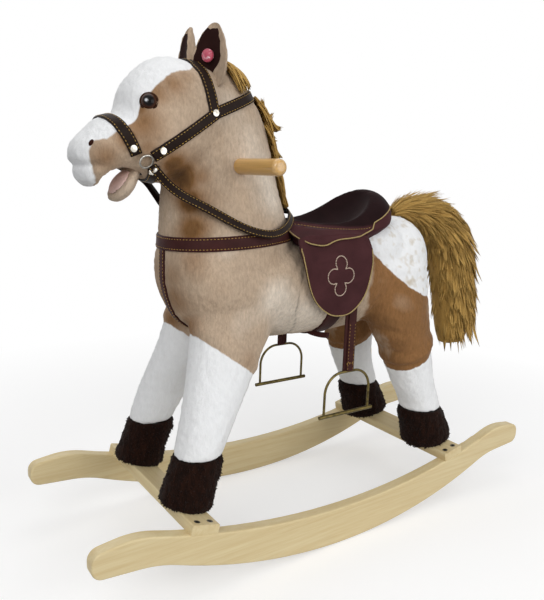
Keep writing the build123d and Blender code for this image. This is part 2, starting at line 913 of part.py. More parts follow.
def flap_piece(side):
    """Side flap that hangs from under the seat, clear of the stirrup leather."""
    inner = leather_y + leather_thickness + soft_gap
    outer = inner + flap_thickness
    top = flap_top
    lean = flap_lean
    straight = leather_pivot_height + leather_width
    bend = (straight + top) / 2
    low = flap_bottom - flap_thickness
    profile = [
        Line((inner, low), (outer, low)),
        Line((outer, low), (outer, straight)),
        ThreePointArc((outer, straight), (outer - lean / 3, bend), (outer - lean, top)),
        Line((outer - lean, top), (inner - lean, top)),
        ThreePointArc((inner - lean, top), (inner - lean / 3, bend), (inner, straight)),
        Line((inner, straight), (inner, low)),
    ]
    face = Plane.YZ.offset(flap_rear_x) * Face(Wire(profile))
    hanging = extrude(face, flap_front_x - flap_rear_x, dir=(1, 0, 0))
    middle = (flap_front_x + flap_rear_x) / 2 - flap_sweep
    toe = (flap_front_x - flap_rear_x) / 4
    waist = (flap_bottom + top) / 2
    front_toe = (middle + toe, flap_bottom + flap_toe_rise)
    rear_toe = (middle - toe, flap_bottom + flap_toe_rise)
    front_waist = (flap_front_x - flap_front_taper, waist)
    rear_waist = (flap_rear_x + flap_rear_taper, flap_bottom + toe)
    outline = [
        ThreePointArc((flap_front_x, top), front_waist, front_toe),
        ThreePointArc(front_toe, (middle, flap_bottom), rear_toe),
        ThreePointArc(rear_toe, rear_waist, (flap_rear_x, top)),
        Line((flap_rear_x, top), (flap_front_x, top)),
    ]
    flap = hanging & side_plate(Face(Wire(outline)), 0, base_width)
    return flap if side == 1 else mirror(flap, about=Plane.XZ)


def stirrup_leather(side):
    """Strap that swings under the flap, with the loop for the stirrup at its end."""
    drop = leather_pivot_height - stirrup_crown_height
    outline = Pos(stirrup_x, leather_pivot_height) * Circle(leather_width / 2)
    outline += Pos(stirrup_x, leather_pivot_height - drop / 2) * Rectangle(leather_width, drop)
    strap = side_plate(outline, leather_y, leather_y + leather_thickness)
    loop = stirrup_wire_radius + running_gap + leather_loop_wall
    crown = Pos(stirrup_x, leather_y + leather_thickness / 2, stirrup_crown_height) * Rot(0, 90, 0)
    strap += crown * Cylinder(loop, leather_width)
    strap -= crown * Cylinder(stirrup_wire_radius + running_gap, 2 * leather_width)
    return strap if side == 1 else mirror(strap, about=Plane.XZ)


def stirrup(side):
    """Bent wire stirrup on a round tread."""
    y = leather_y + leather_thickness / 2
    half = stirrup_half_width
    bend = stirrup_shoulder_radius
    shoulder = stirrup_crown_height - bend
    slack = bend * math.sqrt(0.5)
    straight = half - bend
    crown = stirrup_crown_height
    edges = [
        Line((-half, tread_height), (-half, shoulder)),
        ThreePointArc((-half, shoulder), (-straight - slack, shoulder + slack), (-straight, crown)),
        Line((-straight, crown), (straight, crown)),
        ThreePointArc((straight, crown), (straight + slack, shoulder + slack), (half, shoulder)),
        Line((half, shoulder), (half, tread_height)),
    ]
    path = Plane(origin=(stirrup_x, y, 0), x_dir=(1, 0, 0), z_dir=(0, -1, 0)) * Wire(edges)
    foot = Plane(origin=(stirrup_x - half, y, tread_height), z_dir=(0, 0, 1))
    solid = sweep(foot * Circle(stirrup_wire_radius), path=path)
    solid += Pos(stirrup_x, y, tread_height) * Rot(0, 90, 0) * Cylinder(tread_radius, tread_length)
    return solid if side == 1 else mirror(solid, about=Plane.XZ)


# Assembly


def wooden_base():
    """Rockers, slats and their screws."""
    front = slat(front_slat_x)
    rear = slat(rear_slat_x)
    screws = [place * slat_screw() for place in screw_places()]
    holes = [place * slat_screw(socket=False) for place in screw_places()]
    bolts = [leg_bolt(x, side) for x in (front_slat_x, rear_slat_x) for side in (-1, 1)]
    outline = rocker_outline()
    outer = base_width / 2
    left = side_plate(outline, outer - rocker_thickness, outer)
    left = fillet(left.edges().filter_by(Plane.XZ), rocker_edge_round)
    rockers = [left, mirror(left, about=Plane.XZ)]
    rockers = [cut(rocker, [front, rear] + holes) for rocker in rockers]
    slats = [cut(piece, holes + bolts) for piece in (front, rear)]
    return {
        "rocker_left": rockers[0],
        "rocker_right": rockers[1],
        "front_slat": slats[0],
        "rear_slat": slats[1],
        "slat_screws": screws,
        "leg_bolts": bolts,
    }


def cut(solid, tools):
    """A solid without what the tools take away."""
    for tool in tools:
        solid = solid - tool
    return solid


def wooden_frame(base):
    """Spine board, leg posts, neck board and grab handle."""
    slats = [slat(front_slat_x), slat(rear_slat_x)]
    half = spine_width / 2
    spine = block((spine_rear, spine_front), (-half, half), (spine_bottom, spine_bottom + spine_height))
    posts = []
    for slat_x, inner_x in ((front_slat_x, front_post_x), (rear_slat_x, rear_post_x)):
        posts += [cut(leg_post(slat_x, inner_x, side), slats + base["leg_bolts"]) for side in (-1, 1)]
    half_x = neck_board_width / 2
    half_y = neck_board_thickness / 2
    board_x = (neck_board_x - half_x, neck_board_x + half_x)
    board = block(board_x, (-half_y, half_y), (spine_bottom + spine_height, neck_board_top))
    handle = cylinder_y(handle_radius, handle_length, neck_board_x, handle_height)
    handle = fillet(handle.edges().filter_by(GeomType.CIRCLE), handle_end_round)
    return {"spine_board": spine, "leg_posts": posts, "neck_board": board - handle, "grab_handle": handle}


def flat_list(pieces):
    """All solids of a dictionary of nodes."""
    solids = []
    for piece in pieces.values():
        solids.extend(piece if isinstance(piece, list) else [piece])
    return solids


def motion_unit():
    """What works the sound, the jaw and the tail."""
    return {
        "sound_case": sound_case(),
        "battery_cover": battery_cover(),
        "battery_cells": cells(),
        "speaker": speaker(),
        "jaw_gear_unit": jaw_gear_unit(),
        "tail_gear_unit": tail_gear_unit(),
        "jaw_pin": jaw_pin(),
        "tail_pin": tail_pin(),
    }


def plush_horse(forms, inner):
    """Body, neck, head, legs and hooves, each cut by the larger ones and by what is inside."""
    body, neck, head = forms
    case_room = block(
        (case_x - case_length / 2, case_x + case_length / 2),
        (-case_width / 2, case_width / 2),
        (spine_bottom - case_height - case_wall, spine_bottom),
    )
    hub_room = on_tail_hinge(tail_hub_radius + soft_gap, tail_hub_bottom - soft_gap, 4 * tail_hub_height)
    pieces = {"body": cut(body, [case_room, hub_room] + inner)}
    pieces["neck"] = cut(neck, [body] + inner)
    palate = palate_form() & head
    cavity = jaw_cavity()
    pieces["head"] = cut(head, [neck, cavity, palate] + inner)
    pieces["mouth_lining"] = cut(palate, [cavity] + inner)
    ends = {
        "front": (front_leg_form, front_hoof_form, front_slat_x),
        "rear": (rear_leg_form, rear_hoof_form, rear_slat_x),
    }
    for end, (leg_form, hoof_form, slat_x) in ends.items():
        for name, side in (("left", 1), ("right", -1)):
            leg = leg_form(side) & half_space(side)
            pieces[f"{end}_{name}_leg"] = cut(leg, [body] + inner)
            pieces[f"{end}_{name}_hoof"] = cut(hoof_form(side), [under_floor_of(slat_x)] + inner)
    return pieces


def harness(forms):
    """Bridle, breast collar, chest strap and girth on the plush."""
    body, neck, head = forms
    body_skin = body_form(strap_thickness)
    neck_skin = neck_form(strap_thickness)
    head_skin = head_form(strap_thickness)
    long = 4 * strap_width
    nose_band = slanted_band(*noseband_line, strap_width, long) & above(noseband_end)
    cheek_band = slanted_band(*cheek_line, strap_width)
    brow_band = slanted_band(*brow_line, strap_width, long) & above(brow_end)
    nape_band = cut(slanted_band(*nape_line, strap_width, long), [ahead(nape_line[0][0])])
    chin_band = cut(slanted_band(*chin_line, strap_width, long), [above(chin_end)])
    collar_band = slanted_band(*collar_line, collar_width, long) & ahead(collar_end)
    pieces = {"noseband": strap_on(nose_band, [head_skin], [head])}
    pieces["browband"] = strap_on(brow_band, [head_skin], [head, neck])
    pieces["nape_strap"] = strap_on(nape_band, [head_skin, neck_skin], [head, neck, pieces["browband"]])
    pieces["chin_strap"] = strap_on(chin_band, [head_skin], [head, neck])
    for name, side in (("left", 1), ("right", -1)):
        neighbours = [pieces[key] for key in ("browband", "nape_strap", "noseband", "chin_strap")]
        strap = strap_on(cheek_band & half_space(side), [head_skin], [head, neck] + neighbours)
        pieces[f"cheek_strap_{name}"] = strap
    pieces["breast_collar"] = strap_on(collar_band, [body_skin, neck_skin], [body, neck])
    half = chest_strap_width / 2
    girth_front = girth_x + girth_width / 2
    chest_band = block((girth_front, base_width), (-half, half), (0, chest_strap_top))
    pieces["chest_strap"] = strap_on(chest_band, [body_skin], [body, neck, pieces["breast_collar"]])
    girth_range = (girth_x - girth_width / 2, girth_front)
    girth_top = barrel_middle - girth_width / 2
    girth_band = block(girth_range, (-base_width, base_width), (0, girth_top))
    pieces["girth"] = strap_on(girth_band, [body_skin], [body])
    return pieces


def bridle_metal(pieces, head_skin):
    """Rings and rivet heads of the bridle."""
    studs = []
    for name, (x, z) in rivet_places.items():
        for side in (-1, 1):
            studs.append(cut(stud(pieces[name], x, z, side), [head_skin] + list(pieces.values())))
    return studs


def saddlery(forms, collar):
    """Seat, flaps, stirrup leathers and stirrups."""
    body, neck, head = forms
    seat = cut(seat_form(), [body, neck, collar])
    pieces = {"saddle_seat": seat}
    for name, side in (("left", 1), ("right", -1)):
        pieces[f"saddle_flap_{name}"] = cut(flap_piece(side), [body, neck, seat, collar])
        pieces[f"stirrup_leather_{name}"] = stirrup_leather(side)
        pieces[f"stirrup_{name}"] = stirrup(side)
    return pieces


def build():
    """All nodes, by name."""
    nodes = wooden_base()
    frame = wooden_frame(nodes)
    unit = motion_unit()
    nodes.update(frame)
    nodes.update(unit)
    forms = (body_form(), neck_form(), head_form())
    body, neck, head = forms
    inner = flat_list(frame) + nodes["leg_bolts"]
    inner += [unit[key] for key in ("jaw_gear_unit", "tail_gear_unit", "jaw_pin", "tail_pin")]
    nodes.update(plush_horse(forms, inner))
    nodes["lower_jaw"], nodes["tongue_pad"] = jaw_pieces()
    nodes["tail"] = tail_piece()
    straps = harness(forms)
    nodes.update(straps)
    for leg in ("front_left_leg", "front_right_leg"):
        nodes[leg] = nodes[leg] - straps["chest_strap"]
    ears = {1: ear_form(1), -1: ear_form(-1)}
    pocket = ear_pocket()
    linings = []
    ear_room = [head, neck, pocket, straps["browband"], straps["nape_strap"]]
    for name, side in (("left", 1), ("right", -1)):
        linings.append(cut(lining_form(side), [ears[side]] + ear_room))
        nodes[f"{name}_ear"] = cut(ears[side], ear_room)
    nodes["ear_linings"] = linings
    nodes["ear_button"] = button_solid(button_radius, button_height - button_proud, button_proud)
    eyes = paired_spheres(eye_x, eye_height, eye_spread, eye_radius)
    nostrils = paired_spheres(nostril_x, nostril_height, nostril_spread, nostril_radius)
    nodes["eyes"] = [cut(ball, [head]) for ball in eyes]
    nodes["nostrils"] = [cut(ball, [head]) for ball in nostrils]
    hair_room = [head, neck, straps["browband"], straps["nape_strap"], ears[1], ears[-1]]
    nodes["poll_tuft"] = cut(poll_tuft_form(), hair_room)
    nodes.update(saddlery(forms, straps["breast_collar"]))
    nodes["mane"] = cut(mane_form(), hair_room + [nodes["saddle_seat"]])
    nodes["reins"] = cut(reins(), [body, neck, straps["breast_collar"], nodes["saddle_seat"], nodes["mane"]])
    head_skin = head_form(strap_thickness / 2)
    nodes["bridle_rings"] = [bridle_ring(head, side) for side in (-1, 1)]
    nodes["bridle_rivets"] = bridle_metal(straps, head_skin)
    return nodes


def export(nodes):
    """Write one file for each node."""
    os.makedirs("parts", exist_ok=True)
    for name, piece in nodes.items():
        solids = piece if isinstance(piece, list) else [piece]
        solids = [solid for item in solids for solid in item.solids()]
        shape = solids[0] if len(solids) == 1 else Compound(children=solids)
        export_step(shape, f"parts/{name}.step")


if __name__ == "__main__":
    export(build())
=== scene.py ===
"""Looks of a plush rocking horse: brushed plush skin, hair, saddle, bridle and a pine rocker base."""

import math

import bmesh
import bpy
import numpy as np
from mathutils import Matrix, Vector, noise
from mathutils.bvhtree import BVHTree


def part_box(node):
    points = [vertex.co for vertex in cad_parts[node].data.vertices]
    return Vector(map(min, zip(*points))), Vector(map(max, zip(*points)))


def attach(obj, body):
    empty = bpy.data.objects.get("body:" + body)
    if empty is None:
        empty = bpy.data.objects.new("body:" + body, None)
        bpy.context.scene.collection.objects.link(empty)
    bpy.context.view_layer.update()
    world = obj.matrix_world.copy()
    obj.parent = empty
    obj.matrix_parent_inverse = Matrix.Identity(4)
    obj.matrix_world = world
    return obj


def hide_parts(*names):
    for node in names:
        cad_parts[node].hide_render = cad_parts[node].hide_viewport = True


bl_info = {
    "name": "Plush Rocking Horse",
    "version": (1, 0, 0),
    "blender": (4, 5, 0),
    "location": "View3D > Sidebar > Horse",
    "description": "Dresses the rocking horse with plush, hair, leather, brass and pine",
    "category": "Object",
}

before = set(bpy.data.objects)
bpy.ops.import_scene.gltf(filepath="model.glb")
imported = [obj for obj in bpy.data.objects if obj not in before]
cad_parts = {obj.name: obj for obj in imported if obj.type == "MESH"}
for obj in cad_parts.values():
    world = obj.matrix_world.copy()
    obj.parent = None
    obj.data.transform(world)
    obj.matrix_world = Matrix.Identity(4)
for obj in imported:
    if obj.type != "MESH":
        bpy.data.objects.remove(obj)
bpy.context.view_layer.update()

MM = 0.001
OUT_LEFT = Vector((0, 1, 0))
SIDES = (("left", 1), ("right", -1))

# Surfaces and rows that later pieces are laid on
made = {}
stitch_rows = []


# Colours and sizes that a user may change


def linear(hex_colour):
    """Linear RGBA of an sRGB hex colour."""
    values = [int(hex_colour[i : i + 2], 16) / 255 for i in (1, 3, 5)]
    return tuple(v / 12.92 if v <= 0.04045 else ((v + 0.055) / 1.055) ** 2.4 for v in values) + (1.0,)


def colour(name, description, default):
    """A colour property from an sRGB hex value."""
    return bpy.props.FloatVectorProperty(
        name=name, description=description, subtype="COLOR", size=4, min=0, max=1, default=linear(default)
    )


def length(name, description, default_mm):
    """A length property from millimetres."""
    return bpy.props.FloatProperty(
        name=name, description=description, unit="LENGTH", precision=4, min=0, default=default_mm * MM
    )


class HorseColours(bpy.types.PropertyGroup):
    """Colours of the cloth, leather, hair and wood"""

    tan: colour("Tan plush", "Main coat", "#BFA992")
    # the pale tan is also the colour of the painted sheen highlights on the coat
    pale: colour("Pale tan", "Palest parts of the coat, on the belly and neck", "#E4D6C5")
    brown: colour("Brown shading", "Airbrushed shading round the blaze, throat and chest", "#86613D")
    dark: colour("Dark shading", "Deepest airbrushed shading", "#4C3621")
    thigh: colour("Brown thigh", "Coat of the hind thighs", "#8C6540")
    white: colour("White plush", "Blaze, socks and rump", "#F4F5F6")
    spot: colour("Rump spots", "Soft spots on the rump", "#CDC1AE")
    hoof: colour("Hoof plush", "Long pile of the hooves", "#160A06")
    # the tips' colour is the pile's painted highlight
    hoof_tips: colour("Hoof pile tips", "Tips of the long pile", "#402317")
    lining: colour("Ear lining", "Smooth dark plush inside the ears", "#25110E")
    pink: colour("Mouth plush", "Inside of the mouth", "#F0D0C7")
    patch: colour("Press patch", "Round patch over the button in the ear", "#BC4A60")
    hair: colour("Hair", "Mane and tail", "#A67C3A")
    hair_light: colour("Hair tips", "Sunlit strands", "#DBB469")
    strap: colour("Bridle leather", "Straps of the bridle", "#1E130E")
    harness: colour("Harness leather", "Breast collar, girth and stirrup leathers", "#371A18")
    saddle: colour("Saddle suede", "Seat, skirt and flaps", "#45282A")
    gold: colour("Gold thread", "Stitching", "#C39C4E")
    piping: colour("Piping", "Twisted cord on the edges of the saddle", "#A8925F")
    bead: colour("Beads", "Beads of the motif on the flaps", "#D8C2AE")
    pine: colour("Pine", "Rockers and slats", "#DBCA9F")
    pine_grain: colour("Pine grain", "Late wood of the rockers and slats", "#C4A873")
    handle: colour("Handle wood", "Lacquered grab handle", "#CFA25C")


class HorseSizes(bpy.types.PropertyGroup):
    """Sizes of the cloth, straps and hair"""

    voxel: length("Plush mesh", "Mesh width of the plush skin", 2.8)
    strap_thickness: length("Strap thickness", "Thickness of the straps", 2.2)
    bridle_width: length("Bridle width", "Width of the bridle straps", 14.0)
    harness_width: length("Harness width", "Width of the breast collar", 18.0)
    stitch: length("Stitch", "Length of one stitch", 3.4)
    stitch_gap: length("Stitch gap", "Gap between two stitches", 1.0)
    lock_width: length("Lock width", "Width of a lock of hair at its widest", 9.0)


# Modelling helpers


def activate(obj):
    """Select one object alone."""
    bpy.ops.object.select_all(action="DESELECT")
    obj.select_set(True)
    bpy.context.view_layer.objects.active = obj


def apply_modifier(obj, kind, **settings):
    """Add a modifier and apply it."""
    activate(obj)
    modifier = obj.modifiers.new(kind.title(), kind)
    for key, value in settings.items():
        setattr(modifier, key, value)
    bpy.ops.object.modifier_apply(modifier=modifier.name)


def mesh_object(name, points, faces):
    """A mesh object from points in metres."""
    mesh = bpy.data.meshes.new(name)
    mesh.from_pydata([tuple(p) for p in points], [], faces)
    mesh.update()
    obj = bpy.data.objects.new(name, mesh)
    bpy.context.scene.collection.objects.link(obj)
    return obj


def merged_copy(name, *nodes):
    """One object from copies of CAD nodes, with their doubles merged."""
    shell = bmesh.new()
    for node in nodes:
        shell.from_mesh(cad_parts[node].data)
    bmesh.ops.remove_doubles(shell, verts=shell.verts, dist=1e-6)
    mesh = bpy.data.meshes.new(name)
    shell.to_mesh(mesh)
    shell.free()
    obj = bpy.data.objects.new(name, mesh)
    bpy.context.scene.collection.objects.link(obj)
    return obj


def joined(name, parts):
    """Several objects made one."""
    activate(parts[0])
    for part in parts[1:]:
        part.select_set(True)
    bpy.ops.object.join()
    parts[0].name = name
    return parts[0]


def outward(obj):
    """Turn a closed mesh's faces outwards."""
    activate(obj)
    bpy.ops.object.mode_set(mode="EDIT")
    bpy.ops.mesh.select_all(action="SELECT")
    bpy.ops.mesh.normals_make_consistent(inside=False)
    bpy.ops.object.mode_set(mode="OBJECT")


def finish_piece(obj, material, body="horse", replaces=()):
    """Give a finished piece its finish, its body and the CAD nodes that it stands for."""
    obj.data.materials.clear()
    obj.data.materials.append(material)
    activate(obj)
    bpy.ops.object.shade_smooth()
    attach(obj, body)
    if replaces:
        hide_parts(*replaces)


def coordinates(obj):
    """Vertex places as rows."""
    places = np.empty(len(obj.data.vertices) * 3)
    obj.data.vertices.foreach_get("co", places)
    return places.reshape(-1, 3)


def normals(obj):
    """Vertex normals as rows."""
    values = np.empty(len(obj.data.vertices) * 3)
    obj.data.vertices.foreach_get("normal", values)
    return values.reshape(-1, 3)


def move(obj, places):
    """Put an object's vertices at new places."""
    obj.data.vertices.foreach_set("co", np.ascontiguousarray(places).ravel())
    obj.data.update()


def paint(obj, name, values):
    """Store a number or a vector for each vertex, or one number for all."""
    if np.isscalar(values):
        values = np.full(len(obj.data.vertices), values)
    values = np.ascontiguousarray(values, dtype=np.float32)
    kind, field = ("FLOAT", "value") if values.ndim == 1 else ("FLOAT_VECTOR", "vector")
    obj.data.attributes.new(name, kind, "POINT").data.foreach_set(field, values.ravel())


def surface(obj):
    """Search tree of an object's mesh."""
    bpy.context.view_layer.update()
    return BVHTree.FromObject(obj, bpy.context.evaluated_depsgraph_get())


def keep_largest(obj):
    """Drop every loose island but the largest."""
    activate(obj)
    bpy.ops.object.mode_set(mode="EDIT")
    bpy.ops.mesh.select_all(action="SELECT")
    bpy.ops.mesh.separate(type="LOOSE")
    bpy.ops.object.mode_set(mode="OBJECT")
    parts = sorted(bpy.context.selected_objects, key=lambda part: len(part.data.vertices))
    for part in parts[:-1]:
        bpy.data.objects.remove(part)
    return parts[-1]


def soften(obj, voxel, rounds):
    """Remesh a solid into even cells and round it off."""
    apply_modifier(obj, "REMESH", mode="VOXEL", voxel_size=voxel, adaptivity=0.0)
    obj = keep_largest(obj)
    apply_modifier(obj, "SMOOTH", factor=0.5, iterations=rounds)
    return obj


def soft_copy(name, voxel, rounds, *nodes):
    """One rounded object from copies of CAD nodes."""
    obj = soften(merged_copy(name, *nodes), voxel, rounds)
    obj.name = name
    return obj


def ruffle(obj, size_mm, height_mm, seed=0.0):
    """Push a mesh in and out by noise, as tufts of pile do."""
    places = coordinates(obj)
    scale = 1 / (size_mm * MM)
    shift = Vector((seed, seed * 1.7, seed * 0.3))
    values = np.array([noise.noise(Vector(p) * scale + shift) for p in places])
    move(obj, places + normals(obj) * (values * height_mm * MM)[:, None])


CLOTH_PRESSURE = 4.0
CLOTH_STEPS = 20


def inflate(obj, cap, free):
    """Swell a closed pad by a short cloth simulation, capped, and only as far as each point is free."""
    before = coordinates(obj)
    activate(obj)
    cloth = obj.modifiers.new("Cloth", "CLOTH")
    cloth.settings.use_pressure = True
    cloth.settings.uniform_pressure_force = CLOTH_PRESSURE
    cloth.settings.effector_weights.gravity = 0.0
    scene = bpy.context.scene
    for step in range(CLOTH_STEPS):
        scene.frame_set(step + 1)
    bpy.ops.object.modifier_apply(modifier=cloth.name)
    scene.frame_set(1)
    shift = coordinates(obj) - before
    far = np.linalg.norm(shift, axis=1)
    shift *= (np.minimum(1, cap / np.maximum(far, 1e-9)) * free)[:, None]
    move(obj, before + shift)


def pile_tufts(name, obj, count, long, half, lay, seed):
    """Closed pointed tufts that stand on a mesh and lie towards one way."""
    dice = np.random.default_rng(seed)
    polygons = obj.data.polygons
    points, faces, tips = [], [], []
    for index in dice.choice(len(polygons), count, replace=False):
        centre, normal = polygons[index].center, polygons[index].normal
        lean = Vector(dice.normal(0, 0.3, 3))
        tip = centre + (normal * 0.65 + Vector(lay) + lean).normalized() * long * dice.uniform(0.6, 1.2)
        across = normal.orthogonal().normalized()
        other = normal.cross(across)
        first = len(points)
        for k in range(4):
            angle = math.pi / 2 * k
            spoke = across * math.cos(angle) + other * math.sin(angle)
            points.append(centre - normal * half * 0.5 + spoke * half)
        points.append(tip)
        tips += [0.0] * 4 + [1.0]
        faces.append((first + 3, first + 2, first + 1, first))
        faces += [(first + k, first + (k + 1) % 4, first + 4) for k in range(4)]
    pile = mesh_object(name, points, faces)
    paint(pile, "pile_tip", tips)
    return pile


def dab(name, place, *axes):
    """A ball squeezed to three half axes."""
    bpy.ops.object.select_all(action="DESELECT")
    bpy.ops.mesh.primitive_uv_sphere_add(segments=20, ring_count=10, radius=1)
    ball = bpy.context.object
    ball.name = name
    ball.matrix_world = Matrix.Translation(place) @ Matrix(axes).transposed().to_4x4()
    bpy.ops.object.transform_apply(location=True, rotation=True, scale=True)
    return ball


RIVET_RADIUS = 3.6 * MM
RIVET_RISE = 1.8 * MM


def rivet(station):
    """A low domed rivet on a strap's station."""
    place, normal = station
    across = normal.orthogonal().normalized() * RIVET_RADIUS
    return dab("rivet", place + normal * 2.0 * MM, across, normal.cross(across), normal * RIVET_RISE)


# how far in mm from its edge a marking is still painted
MARK_REACH = 40.0


def plain_coat(obj, brown):
    """Paint a plush piece as coat of one shade with no markings."""
    for name, value in (("brown", brown), ("white_mm", -MARK_REACH), ("thigh_mm", -MARK_REACH)):
        paint(obj, name, value)


def bell(gap, width):
    """1 where a gap is nothing, fading to 0 within about twice a width."""
    return np.exp(-((gap / width) ** 2))


def side_distance(places, line):
    """Distance in mm from a line drawn in the side view, positive on its left."""
    flat = places[:, [0, 2]] / MM
    best = np.full(len(flat), 1e9)
    side = np.ones(len(flat))
    for start, end in zip(line, line[1:]):
        start = np.array(start)
        run = np.array(end) - start
        t = np.clip((flat - start) @ run / (run @ run), 0, 1)
        off = flat - start - t[:, None] * run
        gap = np.hypot(off[:, 0], off[:, 1])
        closer = gap < best
        best[closer] = gap[closer]
        side[closer] = np.sign(run[0] * off[:, 1] - run[1] * off[:, 0])[closer]
    return best * side


def distances(points):
    """How far along a line each of its points lies."""
    return np.concatenate(([0], np.cumsum(np.linalg.norm(np.diff(points, axis=0), axis=1))))


def between(rows, reach, here):
    """The point at a distance along a line of rows."""
    return Vector([np.interp(here, reach, column) for column in np.transpose(rows)])


def ring_faces(rings, sides, first=0, looped=False):
    """Faces between the rings of a tube."""
    faces = []
    for ring in range(rings if looped else rings - 1):
        a, b = first + ring * sides, first + (ring + 1) % rings * sides
        faces += [(a + k, a + (k + 1) % sides, b + (k + 1) % sides, b + k) for k in range(sides)]
    return faces


def end_faces(rings, sides):
    """Faces that close the two ends of a tube."""
    return [tuple(range(sides))[::-1], tuple(range((rings - 1) * sides, rings * sides))]


def grid_faces(rows, columns):
    """Faces of a sheet of points in rows."""
    corners = [row * columns + k for row in range(rows - 1) for k in range(columns - 1)]
    return [(a, a + 1, a + columns + 1, a + columns) for a in corners]


def smooth_line(points, count, closed=False):
    """Even points along a smooth line through given points."""
    points = [Vector(p) for p in points]
    if closed:
        points = [points[-1]] + points + points[:2]
    else:
        points = [points[0] * 2 - points[1]] + points + [points[-1] * 2 - points[-2]]
    dense = []
    for a, b, c, d in zip(points, points[1:], points[2:], points[3:]):
        for t in np.linspace(0, 1, 24, endpoint=False):
            square, cube = 2 * a - 5 * b + 4 * c - d, 3 * b - a - 3 * c + d
            dense.append(0.5 * (2 * b + (c - a) * t + square * t**2 + cube * t**3))
    dense.append(points[-2])
    dense = np.array(dense)
    reach = distances(dense)
    return [between(dense, reach, here) for here in np.linspace(0, reach[-1], count, endpoint=not closed)]


def tube(name, path, radius, sides=8, lobes=0, pitch=1.0, closed=False):
    """A round cord along a path, or a laid one with lobes that wind once in each pitch."""
    path = [Vector(p) for p in path]
    count = len(path)
    points = []
    reach = 0.0
    normal = None
    for i, centre in enumerate(path):
        ahead = path[(i + 1) % count] if closed or i < count - 1 else path[i]
        behind = path[i - 1] if closed or i > 0 else path[i]
        tangent = (ahead - behind).normalized()
        if normal is None:
            normal = tangent.orthogonal().normalized()
        normal = (normal - tangent * normal.dot(tangent)).normalized()
        across = tangent.cross(normal)
        if i:
            reach += (centre - path[i - 1]).length
        for k in range(sides):
            angle = math.tau * k / sides
            swell = 1 + 0.22 * math.cos(lobes * (angle - math.tau * reach / pitch)) if lobes else 1
            points.append(centre + (normal * math.cos(angle) + across * math.sin(angle)) * radius * swell)
    faces = ring_faces(count, sides, looped=closed)
    if not closed:
        faces += end_faces(count, sides)
    return mesh_object(name, points, faces)


STRAP_SECTION = (
    (-1, -0.15), (-1, 0.7), (-0.86, 1), (-0.45, 1.05), (0, 1.06), (0.45, 1.05), (0.86, 1), (1, 0.7),
    (1, -0.15), (0, -0.2),
)


# stitch rows of a strap, as a share of its half width
STITCH_INSET = 0.7


def strap(name, stations, width, thickness, tree=None, stitched=True):
    """A flat strap along stations of place and normal, laid on a surface where one is given."""
    points, rows = [], ([], [])
    half = width / 2
    count = len(stations)
    size = len(STRAP_SECTION)
    for i, (place, normal) in enumerate(stations):
        along = (stations[min(i + 1, count - 1)][0] - stations[max(i - 1, 0)][0]).normalized()
        across = along.cross(normal).normalized()
        for offset, height in STRAP_SECTION:
            points.append(on_strap(place, normal, across * (offset * half), height * thickness, tree))
        for row, offset in zip(rows, (-STITCH_INSET, STITCH_INSET)):
            row.append((on_strap(place, normal, across * (offset * half), thickness * 1.04, tree), normal))
    obj = mesh_object(name, points, ring_faces(count, size) + end_faces(count, size))
    outward(obj)
    if stitched:
        stitch_rows.extend(rows)
    return obj


def on_strap(place, normal, offset, height, tree):
    """A point of a strap, over its surface or free."""
    point = place + offset
    if tree:
        found, found_normal = tree.find_nearest(point)[:2]
        if found:
            return found + found_normal.lerp(normal, 0.5).normalized() * height
    return point + normal * height


def finish_strap(name, leather, stations, width, thickness, tree):
    """A leather strap laid on a surface, which stands for the CAD node of its name."""
    obj = strap(name + "_leather", stations, width, thickness, tree)
    finish_piece(obj, leather, replaces=(name,))


def stitches(name, rows, long, gap, half_width=0.5 * MM):
    """Small spindle-shaped stitches along rows of place and normal."""
    points, faces = [], []
    for row in rows:
        places = np.array([p for p, _ in row])
        ups = np.array([n for _, n in row])
        reach = distances(places)
        for start in np.arange(gap, reach[-1] - long - gap, long + gap):
            ends = [between(places, reach, here) for here in (start, start + long)]
            up = between(ups, reach, start).normalized()
            across = (ends[1] - ends[0]).cross(up).normalized() * half_width
            middle = (ends[0] + ends[1]) / 2
            first = len(points)
            points += [ends[0], ends[1], middle + across, middle + up * half_width, middle - across]
            points.append(middle - up * half_width)
            for a, b in ((2, 3), (3, 4), (4, 5), (5, 2)):
                faces.append((first, first + b, first + a))
                faces.append((first + 1, first + a, first + b))
    obj = mesh_object(name, points, faces)
    outward(obj)
    return obj


def fan(tree, centre, along, across, start, end, count, reach=0.16):
    """Places and normals where rays that close in on a centre, fanned in a plane, meet a surface."""
    found = []
    for angle in np.linspace(math.radians(start), math.radians(end), count):
        ray = along * math.cos(angle) + across * math.sin(angle)
        place, normal = tree.ray_cast(centre + ray * reach, -ray, reach)[:2]
        if place:
            found.append((place, normal))
    return found


def from_side(tree, x, z, side=1):
    """Place and normal on a surface seen straight from one side, at x and z in mm."""
    return tree.ray_cast(Vector((x * MM, side * 0.3, z * MM)), Vector((0, -side, 0)))[:2]


def even(stations, count):
    """Stations spaced evenly, with their normals smoothed."""
    places = np.array([p for p, _ in stations])
    ups = np.array([n for _, n in stations])
    for _ in range(6):
        ups[1:-1] = (ups[:-2] + 2 * ups[1:-1] + ups[2:]) / 4
        places[1:-1] = (places[:-2] + 2 * places[1:-1] + places[2:]) / 4
    reach = distances(places)
    wanted = np.linspace(0, reach[-1], count)
    return [(between(places, reach, here), between(ups, reach, here).normalized()) for here in wanted]


# thickness of a lock of hair as a share of its width
LOCK_FLATNESS = 0.36


